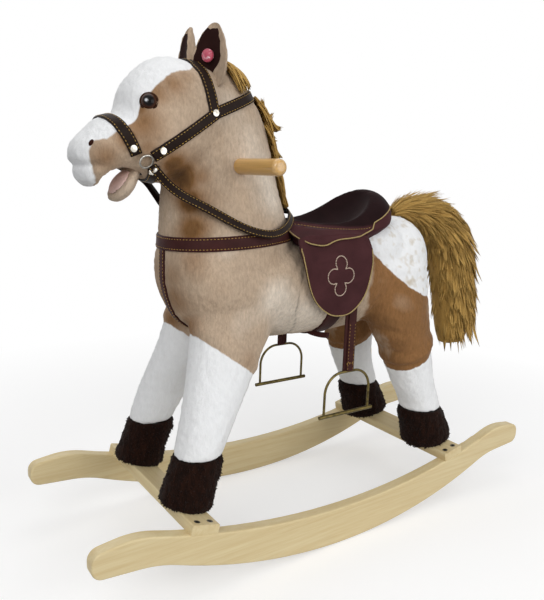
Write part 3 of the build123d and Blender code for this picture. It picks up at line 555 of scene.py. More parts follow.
def locks_mesh(name, locks, sides=4):
    """One mesh of tapered locks of hair, each given by its points, half width, outward side and shade."""
    points, faces, strands, shades, tips = [], [], [], [], []
    for path, half, out, shade in locks:
        first = len(points)
        count = len(path)
        reach = 0.0
        for i, place in enumerate(path[:-1]):
            tangent = (path[i + 1] - path[max(i - 1, 0)]).normalized()
            across = tangent.cross(out).normalized()
            up = across.cross(tangent)
            t = i / (count - 1)
            swell = half * (0.45 + 0.9 * t) if t < 0.6 else half * 0.99 * (1 - (t - 0.6) / 0.4) ** 0.7
            if i:
                reach += (place - path[i - 1]).length
            for k in range(sides):
                angle = math.tau * k / sides
                spoke = across * math.cos(angle) + up * (math.sin(angle) * LOCK_FLATNESS)
                points.append(place + spoke * swell)
                strands.append((math.cos(angle) * half / MM + shade * 97, reach / MM * 0.06, shade * 31))
                shades.append(shade)
                tips.append(t)
        points.append(path[-1])
        strands.append((shade * 97, reach / MM * 0.06, shade * 31))
        shades.append(shade)
        tips.append(1.0)
        faces.append(tuple(first + k for k in range(sides))[::-1])
        faces += ring_faces(count - 1, sides, first)
        a, tip = first + (count - 2) * sides, len(points) - 1
        faces += [(a + k, a + (k + 1) % sides, tip) for k in range(sides)]
    obj = mesh_object(name, points, faces)
    outward(obj)
    paint(obj, "shade", shades)
    paint(obj, "tip", tips)
    paint(obj, "strand", strands)
    return obj


# Materials


def add(tree, kind, inputs=None, output=0, **settings):
    """Add a node with its settings, give its inputs values or links, and return one of its outputs."""
    node = tree.nodes.new("ShaderNode" + kind)
    for key, value in settings.items():
        setattr(node, key, value)
    for key, value in (inputs or {}).items():
        if isinstance(value, bpy.types.NodeSocket):
            tree.links.new(value, node.inputs[key])
        else:
            node.inputs[key].default_value = value
    return node.outputs[output] if node.outputs else None


def start_material(name):
    """A new empty material and its node tree."""
    material = bpy.data.materials.new(name)
    material.use_nodes = True
    material.node_tree.nodes.clear()
    return material, material.node_tree


def end_material(material, inputs):
    """Close a material's tree with its shader."""
    tree = material.node_tree
    add(tree, "OutputMaterial", {"Surface": add(tree, "BsdfPrincipled", inputs)})
    return material


def shaded(tree, colour, value, start, end, dark, light):
    """A colour made darker and lighter as a value goes from its start to its end."""
    level = add(tree, "MapRange", {
        "Value": value, "From Min": start, "From Max": end, "To Min": dark, "To Max": light,
    })
    return add(tree, "Mix", {0: 1.0, 6: colour, 7: level}, 2, data_type="RGBA", blend_type="MULTIPLY")


def brushed_plush(colours):
    """Brushed polyester plush: a fine nap, soft sheen, white markings and airbrushed brown."""
    material, tree = start_material("brushed_plush")
    place = add(tree, "TexCoord", output="Object")
    # the nap lies down the coat, so its flecks are longer upright; it is drawn coarser than real to show:
    # flecks of 3 mm, tufts of 8 mm, patches of 50 mm, strokes of 90 mm and, on the rump, spots of 12 mm
    lying = add(tree, "Mapping", {"Vector": place, "Rotation": (0, 0.35, 0), "Scale": (1, 1, 0.4)})
    nap = add(tree, "TexNoise", {"Vector": lying, "Scale": 300.0, "Detail": 3.0, "Roughness": 0.75})
    tufts = add(tree, "TexNoise", {"Vector": lying, "Scale": 120.0, "Detail": 3.0})
    patches = add(tree, "TexNoise", {"Vector": place, "Scale": 20.0, "Detail": 3.0})
    strokes = add(tree, "TexNoise", {"Vector": lying, "Scale": 11.0, "Detail": 2.0})
    shade = add(tree, "Attribute", output="Fac", attribute_name="brown")
    uneven = add(tree, "Math", {0: patches, 1: 0.5}, operation="SUBTRACT")
    shade = add(tree, "Math", {0: uneven, 1: 0.6, 2: shade}, operation="MULTIPLY_ADD")
    coat = add(tree, "Mix", {0: shade, 6: colours.tan, 7: colours.brown}, 2, data_type="RGBA")
    # a brown below 0 paints the coat paler: partly a paler coat, partly a painted sheen highlight
    lit = add(tree, "MapRange", {"Value": shade, "From Min": -0.15, "From Max": -0.9})
    coat = add(tree, "Mix", {0: lit, 6: coat, 7: colours.pale}, 2, data_type="RGBA")
    deep = add(tree, "MapRange", {"Value": shade, "From Min": 0.85, "From Max": 1.6})
    coat = add(tree, "Mix", {0: deep, 6: coat, 7: colours.dark}, 2, data_type="RGBA")
    rough_edge = add(tree, "Math", {0: tufts, 1: 0.5}, operation="SUBTRACT")
    thigh = add(tree, "Attribute", output="Fac", attribute_name="thigh_mm")
    thigh = add(tree, "Math", {0: rough_edge, 1: 12.0, 2: thigh}, operation="MULTIPLY_ADD")
    thigh = add(tree, "MapRange", {"Value": thigh, "From Min": -4.0, "From Max": 4.0})
    ham = add(tree, "MapRange", {"Value": patches, "From Min": 0.4, "From Max": 0.75})
    ham = add(tree, "Mix", {0: ham, 6: colours.thigh, 7: colours.brown}, 2, data_type="RGBA")
    # painted highlight: the thigh is lightened towards tan where the brown goes below 0
    ham = add(tree, "Mix", {0: lit, 6: ham, 7: colours.tan}, 2, data_type="RGBA")
    # painted shade: the thigh darkens where its shades lie, the deepest by its lower folds
    dim = add(tree, "MapRange", {"Value": shade, "From Min": 0.2, "From Max": 1.6, "To Max": 0.8})
    ham = add(tree, "Mix", {0: dim, 6: ham, 7: colours.dark}, 2, data_type="RGBA")
    coat = add(tree, "Mix", {0: thigh, 6: coat, 7: ham}, 2, data_type="RGBA")
    spots = add(tree, "TexNoise", {"Vector": place, "Scale": 85.0, "Detail": 1.0})
    spots = add(tree, "MapRange", {"Value": spots, "From Min": 0.54, "From Max": 0.86})
    rump = add(tree, "Attribute", output="Fac", attribute_name="rump")
    spots = add(tree, "Math", {0: spots, 1: rump}, operation="MULTIPLY")
    pale = add(tree, "Mix", {0: spots, 6: colours.white, 7: colours.spot}, 2, data_type="RGBA")
    white = add(tree, "Attribute", output="Fac", attribute_name="white_mm")
    white = add(tree, "Math", {0: rough_edge, 1: 5.0, 2: white}, operation="MULTIPLY_ADD")
    white = add(tree, "MapRange", {"Value": white, "From Min": -0.9, "From Max": 0.9})
    # brushed strokes and flecks of nap, weaker on the white
    fleck = add(tree, "Math", {0: nap, 1: strokes}, operation="ADD")
    coat = shaded(tree, coat, fleck, 0.65, 1.35, 0.7, 1.24)
    pale = shaded(tree, pale, nap, 0.3, 0.7, 0.93, 1.0)
    coat = add(tree, "Mix", {0: white, 6: coat, 7: pale}, 2, data_type="RGBA")
    seam = add(tree, "Attribute", output="Fac", attribute_name="seam")
    coat = shaded(tree, coat, seam, 0, 1, 1.0, 0.55)
    relief = add(tree, "Math", {0: nap, 1: 0.6, 2: tufts}, operation="MULTIPLY_ADD")
    bump = add(tree, "Bump", {"Strength": 0.7, "Distance": 0.0025, "Height": relief})
    return end_material(material, {
        "Base Color": coat, "Roughness": 0.9, "Specular IOR Level": 0.08, "Sheen Weight": 0.12,
        "Sheen Roughness": 0.4, "Normal": bump,
    })


def long_pile(name, main, tips):
    """Longer plush pile: clumps of fibres, with painted highlights on their tips and painted shade at their
    deep roots.
    """
    material, tree = start_material(name)
    place = add(tree, "TexCoord", output="Object")
    lying = add(tree, "Mapping", {"Vector": place, "Scale": (1, 1, 0.3)})
    # fibres, drawn as coarse as 2 mm to show, in clumps of 7 mm
    fibres = add(tree, "TexNoise", {"Vector": lying, "Scale": 520.0, "Detail": 3.0})
    clumps = add(tree, "TexNoise", {"Vector": lying, "Scale": 150.0, "Detail": 2.0})
    both = add(tree, "Math", {0: fibres, 1: clumps}, operation="ADD")
    # painted highlight on the tips and painted shade at the roots, by how far along the pile a point lies
    pale = add(tree, "MapRange", {"Value": both, "From Min": 0.85, "From Max": 1.3})
    tip = add(tree, "Attribute", output="Fac", attribute_name="pile_tip")
    pale = add(tree, "Math", {0: pale, 1: tip}, operation="MULTIPLY")
    coat = add(tree, "Mix", {0: pale, 6: main, 7: tips}, 2, data_type="RGBA")
    bump = add(tree, "Bump", {"Strength": 0.6, "Distance": 0.002, "Height": both})
    return end_material(material, {
        "Base Color": coat, "Roughness": 0.9, "Specular IOR Level": 0.06, "Sheen Weight": 0.04,
        "Sheen Roughness": 0.5, "Normal": bump,
    })


def short_velour(name, main):
    """Smooth velour: an even fine nap with soft brushed marks."""
    material, tree = start_material(name)
    place = add(tree, "TexCoord", output="Object")
    # nap, drawn as coarse as 1.4 mm to show, with brushed marks of 17 mm
    nap = add(tree, "TexNoise", {"Vector": place, "Scale": 700.0, "Detail": 2.0})
    marks = add(tree, "TexNoise", {"Vector": place, "Scale": 60.0, "Detail": 2.0})
    both = add(tree, "Math", {0: nap, 1: 0.5, 2: marks}, operation="MULTIPLY_ADD")
    coat = shaded(tree, main, both, 0.5, 1.0, 0.82, 1.12)
    bump = add(tree, "Bump", {"Strength": 0.25, "Distance": 0.001, "Height": nap})
    return end_material(material, {
        "Base Color": coat, "Roughness": 0.85, "Specular IOR Level": 0.08, "Sheen Weight": 0.05,
        "Sheen Roughness": 0.4, "Normal": bump,
    })


def foil_patch(colours):
    """Crinkled foil cloth of the press patch: facets of pink with bright glints."""
    material, tree = start_material("foil_patch")
    place = add(tree, "TexCoord", output="Object")
    # facets of 2.4 mm
    facet = add(tree, "TexVoronoi", {"Vector": place, "Scale": 420.0}).node.outputs
    tone = add(tree, "SeparateColor", {0: facet["Color"]})
    glint = add(tree, "MapRange", {"Value": tone, "From Min": 0.55, "From Max": 1.0})
    foil = add(tree, "Mix", {0: glint, 6: colours.patch, 7: linear("#F0CBD2")}, 2, data_type="RGBA")
    bump = add(tree, "Bump", {"Strength": 0.6, "Distance": 0.001, "Height": facet["Distance"]})
    return end_material(material, {
        "Base Color": foil, "Roughness": 0.35, "Specular IOR Level": 0.4, "Normal": bump,
    })


def synthetic_hair(colours):
    """Combed synthetic hair: fine strands along each lock, with tips painted lighter as a painted
    highlight.
    """
    material, tree = start_material("synthetic_hair")
    strand = add(tree, "Attribute", output="Vector", attribute_name="strand")
    shade = add(tree, "Attribute", output="Fac", attribute_name="shade")
    tip = add(tree, "Attribute", output="Fac", attribute_name="tip")
    # strands 0.4 mm wide and 6 mm from fleck to fleck
    lines = add(tree, "TexNoise", {"Vector": strand, "Scale": 2.6, "Detail": 3.0, "Roughness": 0.7})
    # painted highlight: the tips are lighter, and so are the tail's locks that face up, through their shade
    light = add(tree, "Math", {0: tip, 1: 0.35, 2: shade}, operation="MULTIPLY_ADD")
    light = add(tree, "Math", {0: lines, 1: 1.3, 2: light}, operation="MULTIPLY_ADD")
    light = add(tree, "MapRange", {"Value": light, "From Min": 0.55, "From Max": 2.0})
    coat = add(tree, "Mix", {0: light, 6: colours.hair, 7: colours.hair_light}, 2, data_type="RGBA")
    coat = shaded(tree, coat, lines, 0.3, 0.55, 0.74, 1.0)
    bump = add(tree, "Bump", {"Strength": 0.7, "Distance": 0.0015, "Height": lines})
    return end_material(material, {
        "Base Color": coat, "Roughness": 0.6, "Specular IOR Level": 0.12, "Normal": bump,
    })


def coated_leather(name, main):
    """Coated leather cloth: a fine pebble grain and a low shine."""
    material, tree = start_material(name)
    place = add(tree, "TexCoord", output="Object")
    # pebbles of 1.4 mm and worn patches of 14 mm
    grain = add(tree, "TexVoronoi", {"Vector": place, "Scale": 700.0}, "Distance", feature="F1")
    wear = add(tree, "TexNoise", {"Vector": place, "Scale": 70.0, "Detail": 4.0})
    coat = shaded(tree, main, wear, 0.3, 0.7, 0.8, 1.25)
    shine = add(tree, "MapRange", {"Value": wear, "To Min": 0.62, "To Max": 0.42})
    bump = add(tree, "Bump", {"Strength": 0.3, "Distance": 0.0006, "Height": grain})
    return end_material(material, {
        "Base Color": coat, "Roughness": shine, "Specular IOR Level": 0.09, "Normal": bump,
    })


def saddle_suede(colours):
    """Suede cloth: a velvety nap that shows lighter and darker where it was stroked."""
    material, tree = start_material("saddle_suede")
    place = add(tree, "TexCoord", output="Object")
    # nap, drawn as coarse as 1.3 mm to show, with strokes of 30 mm
    nap = add(tree, "TexNoise", {"Vector": place, "Scale": 800.0, "Detail": 2.0})
    strokes = add(tree, "TexNoise", {"Vector": place, "Scale": 34.0, "Detail": 4.0, "Distortion": 0.6})
    both = add(tree, "Math", {0: nap, 1: 0.4, 2: strokes}, operation="MULTIPLY_ADD")
    # painted shade: the seat's dish and its top above the skirt's seam are painted darker, as in a deep
    # bowl
    hollow = add(tree, "Attribute", output="Fac", attribute_name="hollow")
    dish_shade = add(tree, "Mix", {0: hollow, 6: colours.saddle, 7: linear("#1E0F10")}, 2, data_type="RGBA")
    coat = shaded(tree, dish_shade, both, 0.45, 0.95, 0.75, 1.2)
    bump = add(tree, "Bump", {"Strength": 0.2, "Distance": 0.001, "Height": nap})
    return end_material(material, {
        "Base Color": coat, "Roughness": 0.8, "Specular IOR Level": 0.06, "Sheen Weight": 0.04,
        "Sheen Roughness": 0.35, "Normal": bump,
    })


def lurex_thread(name, main):
    """Twisted lurex thread: dull gold with bright flecks."""
    material, tree = start_material(name)
    place = add(tree, "TexCoord", output="Object")
    # flecks of 1.1 mm, as long as a turn of the thread
    flecks = add(tree, "TexNoise", {"Vector": place, "Scale": 900.0, "Detail": 1.0})
    coat = shaded(tree, main, flecks, 0.35, 0.65, 0.7, 1.25)
    return end_material(material, {"Base Color": coat, "Roughness": 0.55, "Specular IOR Level": 0.25})


def glass_beads(colours):
    """Small pearl glass beads: pale and a little glossy."""
    material, tree = start_material("glass_beads")
    place = add(tree, "TexCoord", output="Object")
    # clouds of 2 mm, about the size of a bead
    pearl = add(tree, "TexNoise", {"Vector": place, "Scale": 500.0, "Detail": 1.0})
    tint = shaded(tree, colours.bead, pearl, 0, 1, 0.75, 1.15)
    return end_material(material, {"Base Color": tint, "Roughness": 0.3})


def planed_pine(name, colours, scale):
    """Planed and sanded pine: pale early wood with fine darker grain along the board."""
    material, tree = start_material(name)
    place = add(tree, "TexCoord", output="Object")
    drawn = add(tree, "Mapping", {"Vector": place, "Scale": scale})
    # the scale is in lines of grain to the metre, and the pores are nine times as fine
    grain = add(tree, "TexNoise", {"Vector": drawn, "Scale": 1.0, "Detail": 5.0, "Roughness": 0.65})
    pores = add(tree, "TexNoise", {"Vector": drawn, "Scale": 9.0, "Detail": 2.0})
    both = add(tree, "Math", {0: pores, 1: 0.35, 2: grain}, operation="MULTIPLY_ADD")
    late = add(tree, "MapRange", {"Value": both, "From Min": 0.5, "From Max": 1.0, "To Max": 0.75})
    wood = add(tree, "Mix", {0: late, 6: colours.pine, 7: colours.pine_grain}, 2, data_type="RGBA")
    bump = add(tree, "Bump", {"Strength": 0.12, "Distance": 0.0006, "Height": both})
    return end_material(material, {
        "Base Color": wood, "Roughness": 0.5, "Specular IOR Level": 0.4, "Normal": bump,
    })


def lacquered_dowel(colours):
    """Turned hardwood under clear lacquer: warm, with fine grain along the rod."""
    material, tree = start_material("lacquered_dowel")
    place = add(tree, "TexCoord", output="Object")
    # grain 4 mm wide and 80 mm long
    drawn = add(tree, "Mapping", {"Vector": place, "Scale": (260, 12, 260)})
    grain = add(tree, "TexNoise", {"Vector": drawn, "Scale": 1.0, "Detail": 5.0})
    wood = shaded(tree, colours.handle, grain, 0.3, 0.7, 0.78, 1.12)
    return end_material(material, {
        "Base Color": wood, "Roughness": 0.35, "Coat Weight": 0.6, "Coat Roughness": 0.12,
    })


def worn_metal(name, bright, dark, roughness, metallic=1.0):
    """Plated or blackened metal: bright and duller in patches, with its roughness varied with them."""
    material, tree = start_material(name)
    place = add(tree, "TexCoord", output="Object")
    # patches of 6 mm
    patina = add(tree, "TexNoise", {"Vector": place, "Scale": 160.0, "Detail": 4.0})
    dull = add(tree, "MapRange", {"Value": patina, "From Min": 0.35, "From Max": 0.7})
    metal = add(tree, "Mix", {0: dull, 6: linear(bright), 7: linear(dark)}, 2, data_type="RGBA")
    rough = add(tree, "MapRange", {
        "Value": patina, "To Min": roughness - 0.1, "To Max": roughness + 0.12,
    })
    return end_material(material, {"Base Color": metal, "Metallic": metallic, "Roughness": rough})


def eye_acrylic():
    """Polished acrylic eye: black pupil with a painted highlight in the place of a lamp's reflection, brown
    iris, black edge, under gloss.
    """
    material, tree = start_material("eye_acrylic")
    place = add(tree, "TexCoord", output="Object")
    rays = add(tree, "TexNoise", {"Vector": place, "Scale": 900.0, "Detail": 2.0})
    angle = add(tree, "Attribute", output="Fac", attribute_name="from_middle")
    angle = add(tree, "Math", {0: rays, 1: 0.03, 2: angle}, operation="MULTIPLY_ADD")
    ramp = add(tree, "ValToRGB", {"Fac": angle})
    elements = ramp.node.color_ramp.elements
    stops = ((0.0, "#060403"), (0.2, "#080504"), (0.25, "#2B150B"), (0.33, "#4A2815"), (0.4, "#1A0C07"))
    for spot, tint in stops[1:-1]:
        elements.new(spot).color = linear(tint)
    for element, (spot, tint) in ((elements[0], stops[0]), (elements[-1], stops[-1])):
        element.position = spot
        element.color = linear(tint)
    # painted highlight mixed into the eye's colour
    spot = add(tree, "Attribute", output="Fac", attribute_name="painted_highlight")
    tint = add(tree, "Mix", {0: spot, 6: ramp, 7: linear("#E3E6EA")}, 2, data_type="RGBA")
    return end_material(material, {"Base Color": tint, "Roughness": 0.06, "Specular IOR Level": 0.12})


def moulded_plastic(name, main, roughness):
    """Moulded plastic: even colour with a faint mottle."""
    material, tree = start_material(name)
    place = add(tree, "TexCoord", output="Object")
    # mottle of 3 mm
    mottle = add(tree, "TexNoise", {"Vector": place, "Scale": 300.0, "Detail": 2.0})
    tint = shaded(tree, linear(main), mottle, 0, 1, 0.9, 1.1)
    return end_material(material, {"Base Color": tint, "Roughness": roughness})


# Stage


# the camera's place in mm, its yaw, pitch and roll in degrees, and its lens in mm
CAMERA_PLACE = (578.8, 745.9, 512.1)
CAMERA_TURN = (-124.890, 11.321, 2.073)
CAMERA_LENS = 38.21
# place, width and power of the lamps: a key over the camera's left shoulder, a fill from its right,
# soft low, top and back light, and a small one that shows only in gloss
LAMPS = (
    ("key", (1.4, 1.1, 1.6), 1.3, 13.8),
    ("fill", (-0.6, 1.9, 0.8), 1.5, 20),
    ("low", (1.5, 0.9, 0.25), 1.0, 4),
    ("top", (0.0, -0.2, 2.1), 1.6, 9),
    ("back", (0.2, -1.8, 1.2), 1.6, 7),
    ("catch", (1.0, 1.35, 1.1), 0.1, 5),
)
LAMP_TARGET = Vector((0, 0, 0.33))
WHITE = (1, 1, 1, 1)


def background_rays(tree):
    """1 for the rays that see the background: the camera's, those in gloss and those through glass."""
    rays = add(tree, "LightPath").node.outputs
    shown = add(tree, "Math", {0: rays["Is Camera Ray"], 1: rays["Is Glossy Ray"]}, operation="MAXIMUM")
    return add(tree, "Math", {0: shown, 1: rays["Is Transmission Ray"]}, operation="MAXIMUM")


class HORSE_OT_stage(bpy.types.Operator):
    """Camera at the viewing angle of the photograph, soft studio light and a pale floor"""

    bl_idname = "horse.stage"
    bl_label = "Stage"

    def execute(self, context):
        scene = context.scene
        scene.view_settings.view_transform = "Standard"
        self.camera(scene)
        for name, place, size, watts in LAMPS:
            light = bpy.data.objects.new(name, bpy.data.lights.new(name, "AREA"))
            light.data.size = size
            light.data.energy = watts
            light.visible_diffuse = name != "catch"
            light.location = place
            light.rotation_euler = (LAMP_TARGET - Vector(place)).to_track_quat("-Z", "Y").to_euler()
            scene.collection.objects.link(light)
        self.sky(scene)
        bpy.ops.object.select_all(action="DESELECT")
        bpy.ops.mesh.primitive_circle_add(vertices=96, radius=6, fill_type="NGON", location=(0, 0, -0.0005))
        floor = context.object
        floor.name = "floor"
        bpy.ops.object.transform_apply(location=True, rotation=False, scale=False)
        floor.data.materials.append(self.floor_paper())
        return {"FINISHED"}

    def camera(self, scene):
        """The camera that took the photograph."""
        yaw, pitch, roll = (math.radians(angle) for angle in CAMERA_TURN)
        level = math.cos(pitch)
        ahead = Vector((math.cos(yaw) * level, math.sin(yaw) * level, -math.sin(pitch)))
        right = Vector((math.sin(yaw), -math.cos(yaw), 0))
        up = right.cross(ahead)
        turned_right = right * math.cos(roll) + up * math.sin(roll)
        turned_up = up * math.cos(roll) - right * math.sin(roll)
        camera = bpy.data.objects.new("camera", bpy.data.cameras.new("camera"))
        scene.collection.objects.link(camera)
        turn = Matrix((turned_right, turned_up, -ahead)).transposed().to_4x4()
        camera.matrix_world = Matrix.Translation(Vector(CAMERA_PLACE) * MM) @ turn
        camera.data.lens = CAMERA_LENS
        camera.data.clip_start = 0.01
        scene.camera = camera

    def sky(self, scene):
        """A white background that lights the horse only softly."""
        world = bpy.data.worlds.new("studio")
        scene.world = world
        world.use_nodes = True
        tree = world.node_tree
        tree.nodes.clear()
        shown = background_rays(tree)
        strength = add(tree, "MapRange", {"Value": shown, "To Min": 0.3, "To Max": 1.0})
        sky = add(tree, "Background", {"Color": WHITE, "Strength": strength})
        add(tree, "OutputWorld", {"Surface": sky})

    def floor_paper(self):
        """Matt paper sweep: pale under the horse, where it takes the shadow, and white further out."""
        material, tree = start_material("studio_floor")
        shown = background_rays(tree)
        glow = add(tree, "Math", {0: shown, 1: 0.45}, operation="MULTIPLY")
        sheet = add(tree, "BsdfDiffuse", {"Color": (0.62, 0.62, 0.62, 1)})
        light = add(tree, "Emission", {"Color": WHITE, "Strength": glow})
        near = add(tree, "AddShader", {0: sheet, 1: light})
        far = add(tree, "Emission", {"Color": WHITE, "Strength": shown})
        place = add(tree, "TexCoord", output="Object")
        reach = add(tree, "VectorMath", {0: place}, "Value", operation="LENGTH")
        fade = add(tree, "MapRange", {"Value": reach, "From Min": 0.5, "From Max": 1.1})
        add(tree, "OutputMaterial", {"Surface": add(tree, "MixShader", {0: fade, 1: near, 2: far})})
        return material


# Wood, metal and hidden parts that keep their CAD shape


def dress(nodes, material):
    """Give CAD nodes a material."""
    for node in nodes:
        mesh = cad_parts[node].data
        mesh.materials.clear()
        mesh.materials.append(material)


class HORSE_OT_base(bpy.types.Operator):
    """Pine rockers and slats, screws and the grab handle"""

    bl_idname = "horse.base"
    bl_label = "Base and Handle"

    def execute(self, context):
        colours = context.scene.horse_colours
        dress(("rocker_left", "rocker_right"), planed_pine("planed_pine_rockers", colours, (5, 90, 150)))
        dress(("front_slat", "rear_slat"), planed_pine("planed_pine_slats", colours, (130, 4, 130)))
        dress(("grab_handle",), lacquered_dowel(colours))
        dress(("slat_screws",), worn_metal("zinc_wood_screws", "#7C786E", "#54514A", 0.45))
        return {"FINISHED"}


class HORSE_OT_inside(bpy.types.Operator):
    """Frame, sound case and drives inside the horse"""

    bl_idname = "horse.inside"
    bl_label = "Inside"

    def execute(self, context):
        colours = context.scene.horse_colours
        dress(("spine_board", "leg_posts", "neck_board"), planed_pine("frame_pine", colours, (6, 40, 40)))
        steel = worn_metal("zinc_plated_steel", "#B9BDC0", "#8B8F92", 0.35)
        dress(("leg_bolts", "jaw_pin", "tail_pin"), steel)
        dress(("battery_cells",), worn_metal("cell_wrap", "#7C8A96", "#56616B", 0.3, 0.6))
        case = moulded_plastic("moulded_abs", "#2A2A2C", 0.45)
        dress(("sound_case", "battery_cover", "speaker", "jaw_gear_unit", "tail_gear_unit"), case)
        return {"FINISHED"}


# Plush skin


PLUSH = ("body", "neck", "head", "front_left_leg", "front_right_leg", "rear_left_leg", "rear_right_leg")
# what fills the rooms inside the plush
STUFFED = (
    "spine_board", "leg_posts", "neck_board", "sound_case", "battery_cover", "jaw_gear_unit",
    "tail_gear_unit", "jaw_pin", "tail_pin",
)
# place and reach in mm of the swelling on each side of the rump
RUMP_SWELL = (-99, 32, 399)
RUMP_REACH = (68, 42, 48)
# how far the face is drawn in, in mm
LIP_BACK = 5.5
LIP_UP = 2
CROWN_DROP = 7
ROOF_HOLLOW = 6
BRIDGE_DISH = 12.5
# edges of the markings and a seam in the side view, as x and z in mm
BLAZE_EDGE = (
    (192, 668), (206, 640), (218, 630), (239, 622), (260, 604), (273, 592), (286, 580), (295, 566),
    (301, 556), (314, 543.5), (329, 540.5), (335, 529), (336, 516), (332, 497), (328, 478),
)
RUMP_EDGE = ((-230, 318), (-160, 336), (-128, 352), (-103, 373), (-70, 402), (-44, 448))
THIGH_EDGE = ((-64, 430), (-71, 397), (-57, 350), (-72, 298), (-101, 270), (-112, 248), (-118, 200))
BODY_SEAM = ((50, 430), (53, 409), (67, 366), (69, 330), (53, 288), (40, 270))
# creases where the stuffed thigh folds, and their depths in mm
FOLDS = (
    (((-96, 232), (-122, 226), (-150, 236)), 2.2), (((-74, 300), (-92, 286), (-118, 280)), 2.0),
    (((-110, 252), (-132, 246), (-160, 256)), 1.4), (((94, 300), (112, 284), (128, 262)), 1.6),
    (((60, 400), (76, 384), (84, 360)), 1.4), (((104, 410), (116, 392), (120, 366)), 1.2),
)
# place and reach in mm and depth of each airbrushed shade, on both sides; the last three, on the thigh, are
# painted shade by its folds
SHADES = (
    ((225, 34, 502), 26, 1.5), ((216, 40, 474), 25, 1.15), ((213, 46, 440), 27, 1.1),
    ((236, 38, 518), 20, 1.3), ((207, 47, 505), 16, 0.9), ((281, 44, 566), 30, 0.9),
    ((263, 46, 598), 20, 0.9), ((243, 48, 611), 18, 0.75), ((226, 50, 622), 14, 0.6),
    ((294, 40, 546), 16, 1.05), ((319, 38, 522), 18, 0.7), ((306, 42, 510), 16, 0.6),
    ((272, 44, 535), 16, 0.65), ((281, 42, 582), 14, 1.0), ((226, 22, 345), 30, 0.8),
    ((205, 28, 312), 24, 0.9), ((224, 20, 380), 24, 0.6), ((214, 52, 400), 22, 0.5),
    ((150, 80, 276), 16, 0.3), ((104, 84, 400), 14, 0.35), ((-133, 76, 262), 24, 1.0),
    ((-98, 80, 296), 16, 0.7), ((-86, 74, 338), 12, 0.5),
)
# the same for the palest parts: partly a paler coat, partly painted sheen highlights where the light falls
# brightest
PALES_AND_HIGHLIGHTS = (
    ((70, 70, 310), 42, 1.0), ((38, 70, 300), 34, 0.8), ((105, 86, 350), 28, 0.95),
    ((180, 70, 420), 20, 0.5), ((140, 46, 545), 40, 0.5), ((112, 46, 500), 34, 0.6),
    ((100, 46, 470), 26, 0.6), ((170, 52, 590), 22, 0.35), ((239, 22, 455), 14, 0.8),
    ((160, 82, 320), 22, 0.35), ((-177, 72, 307), 22, 0.75), ((-118, 82, 326), 20, 0.4),
)


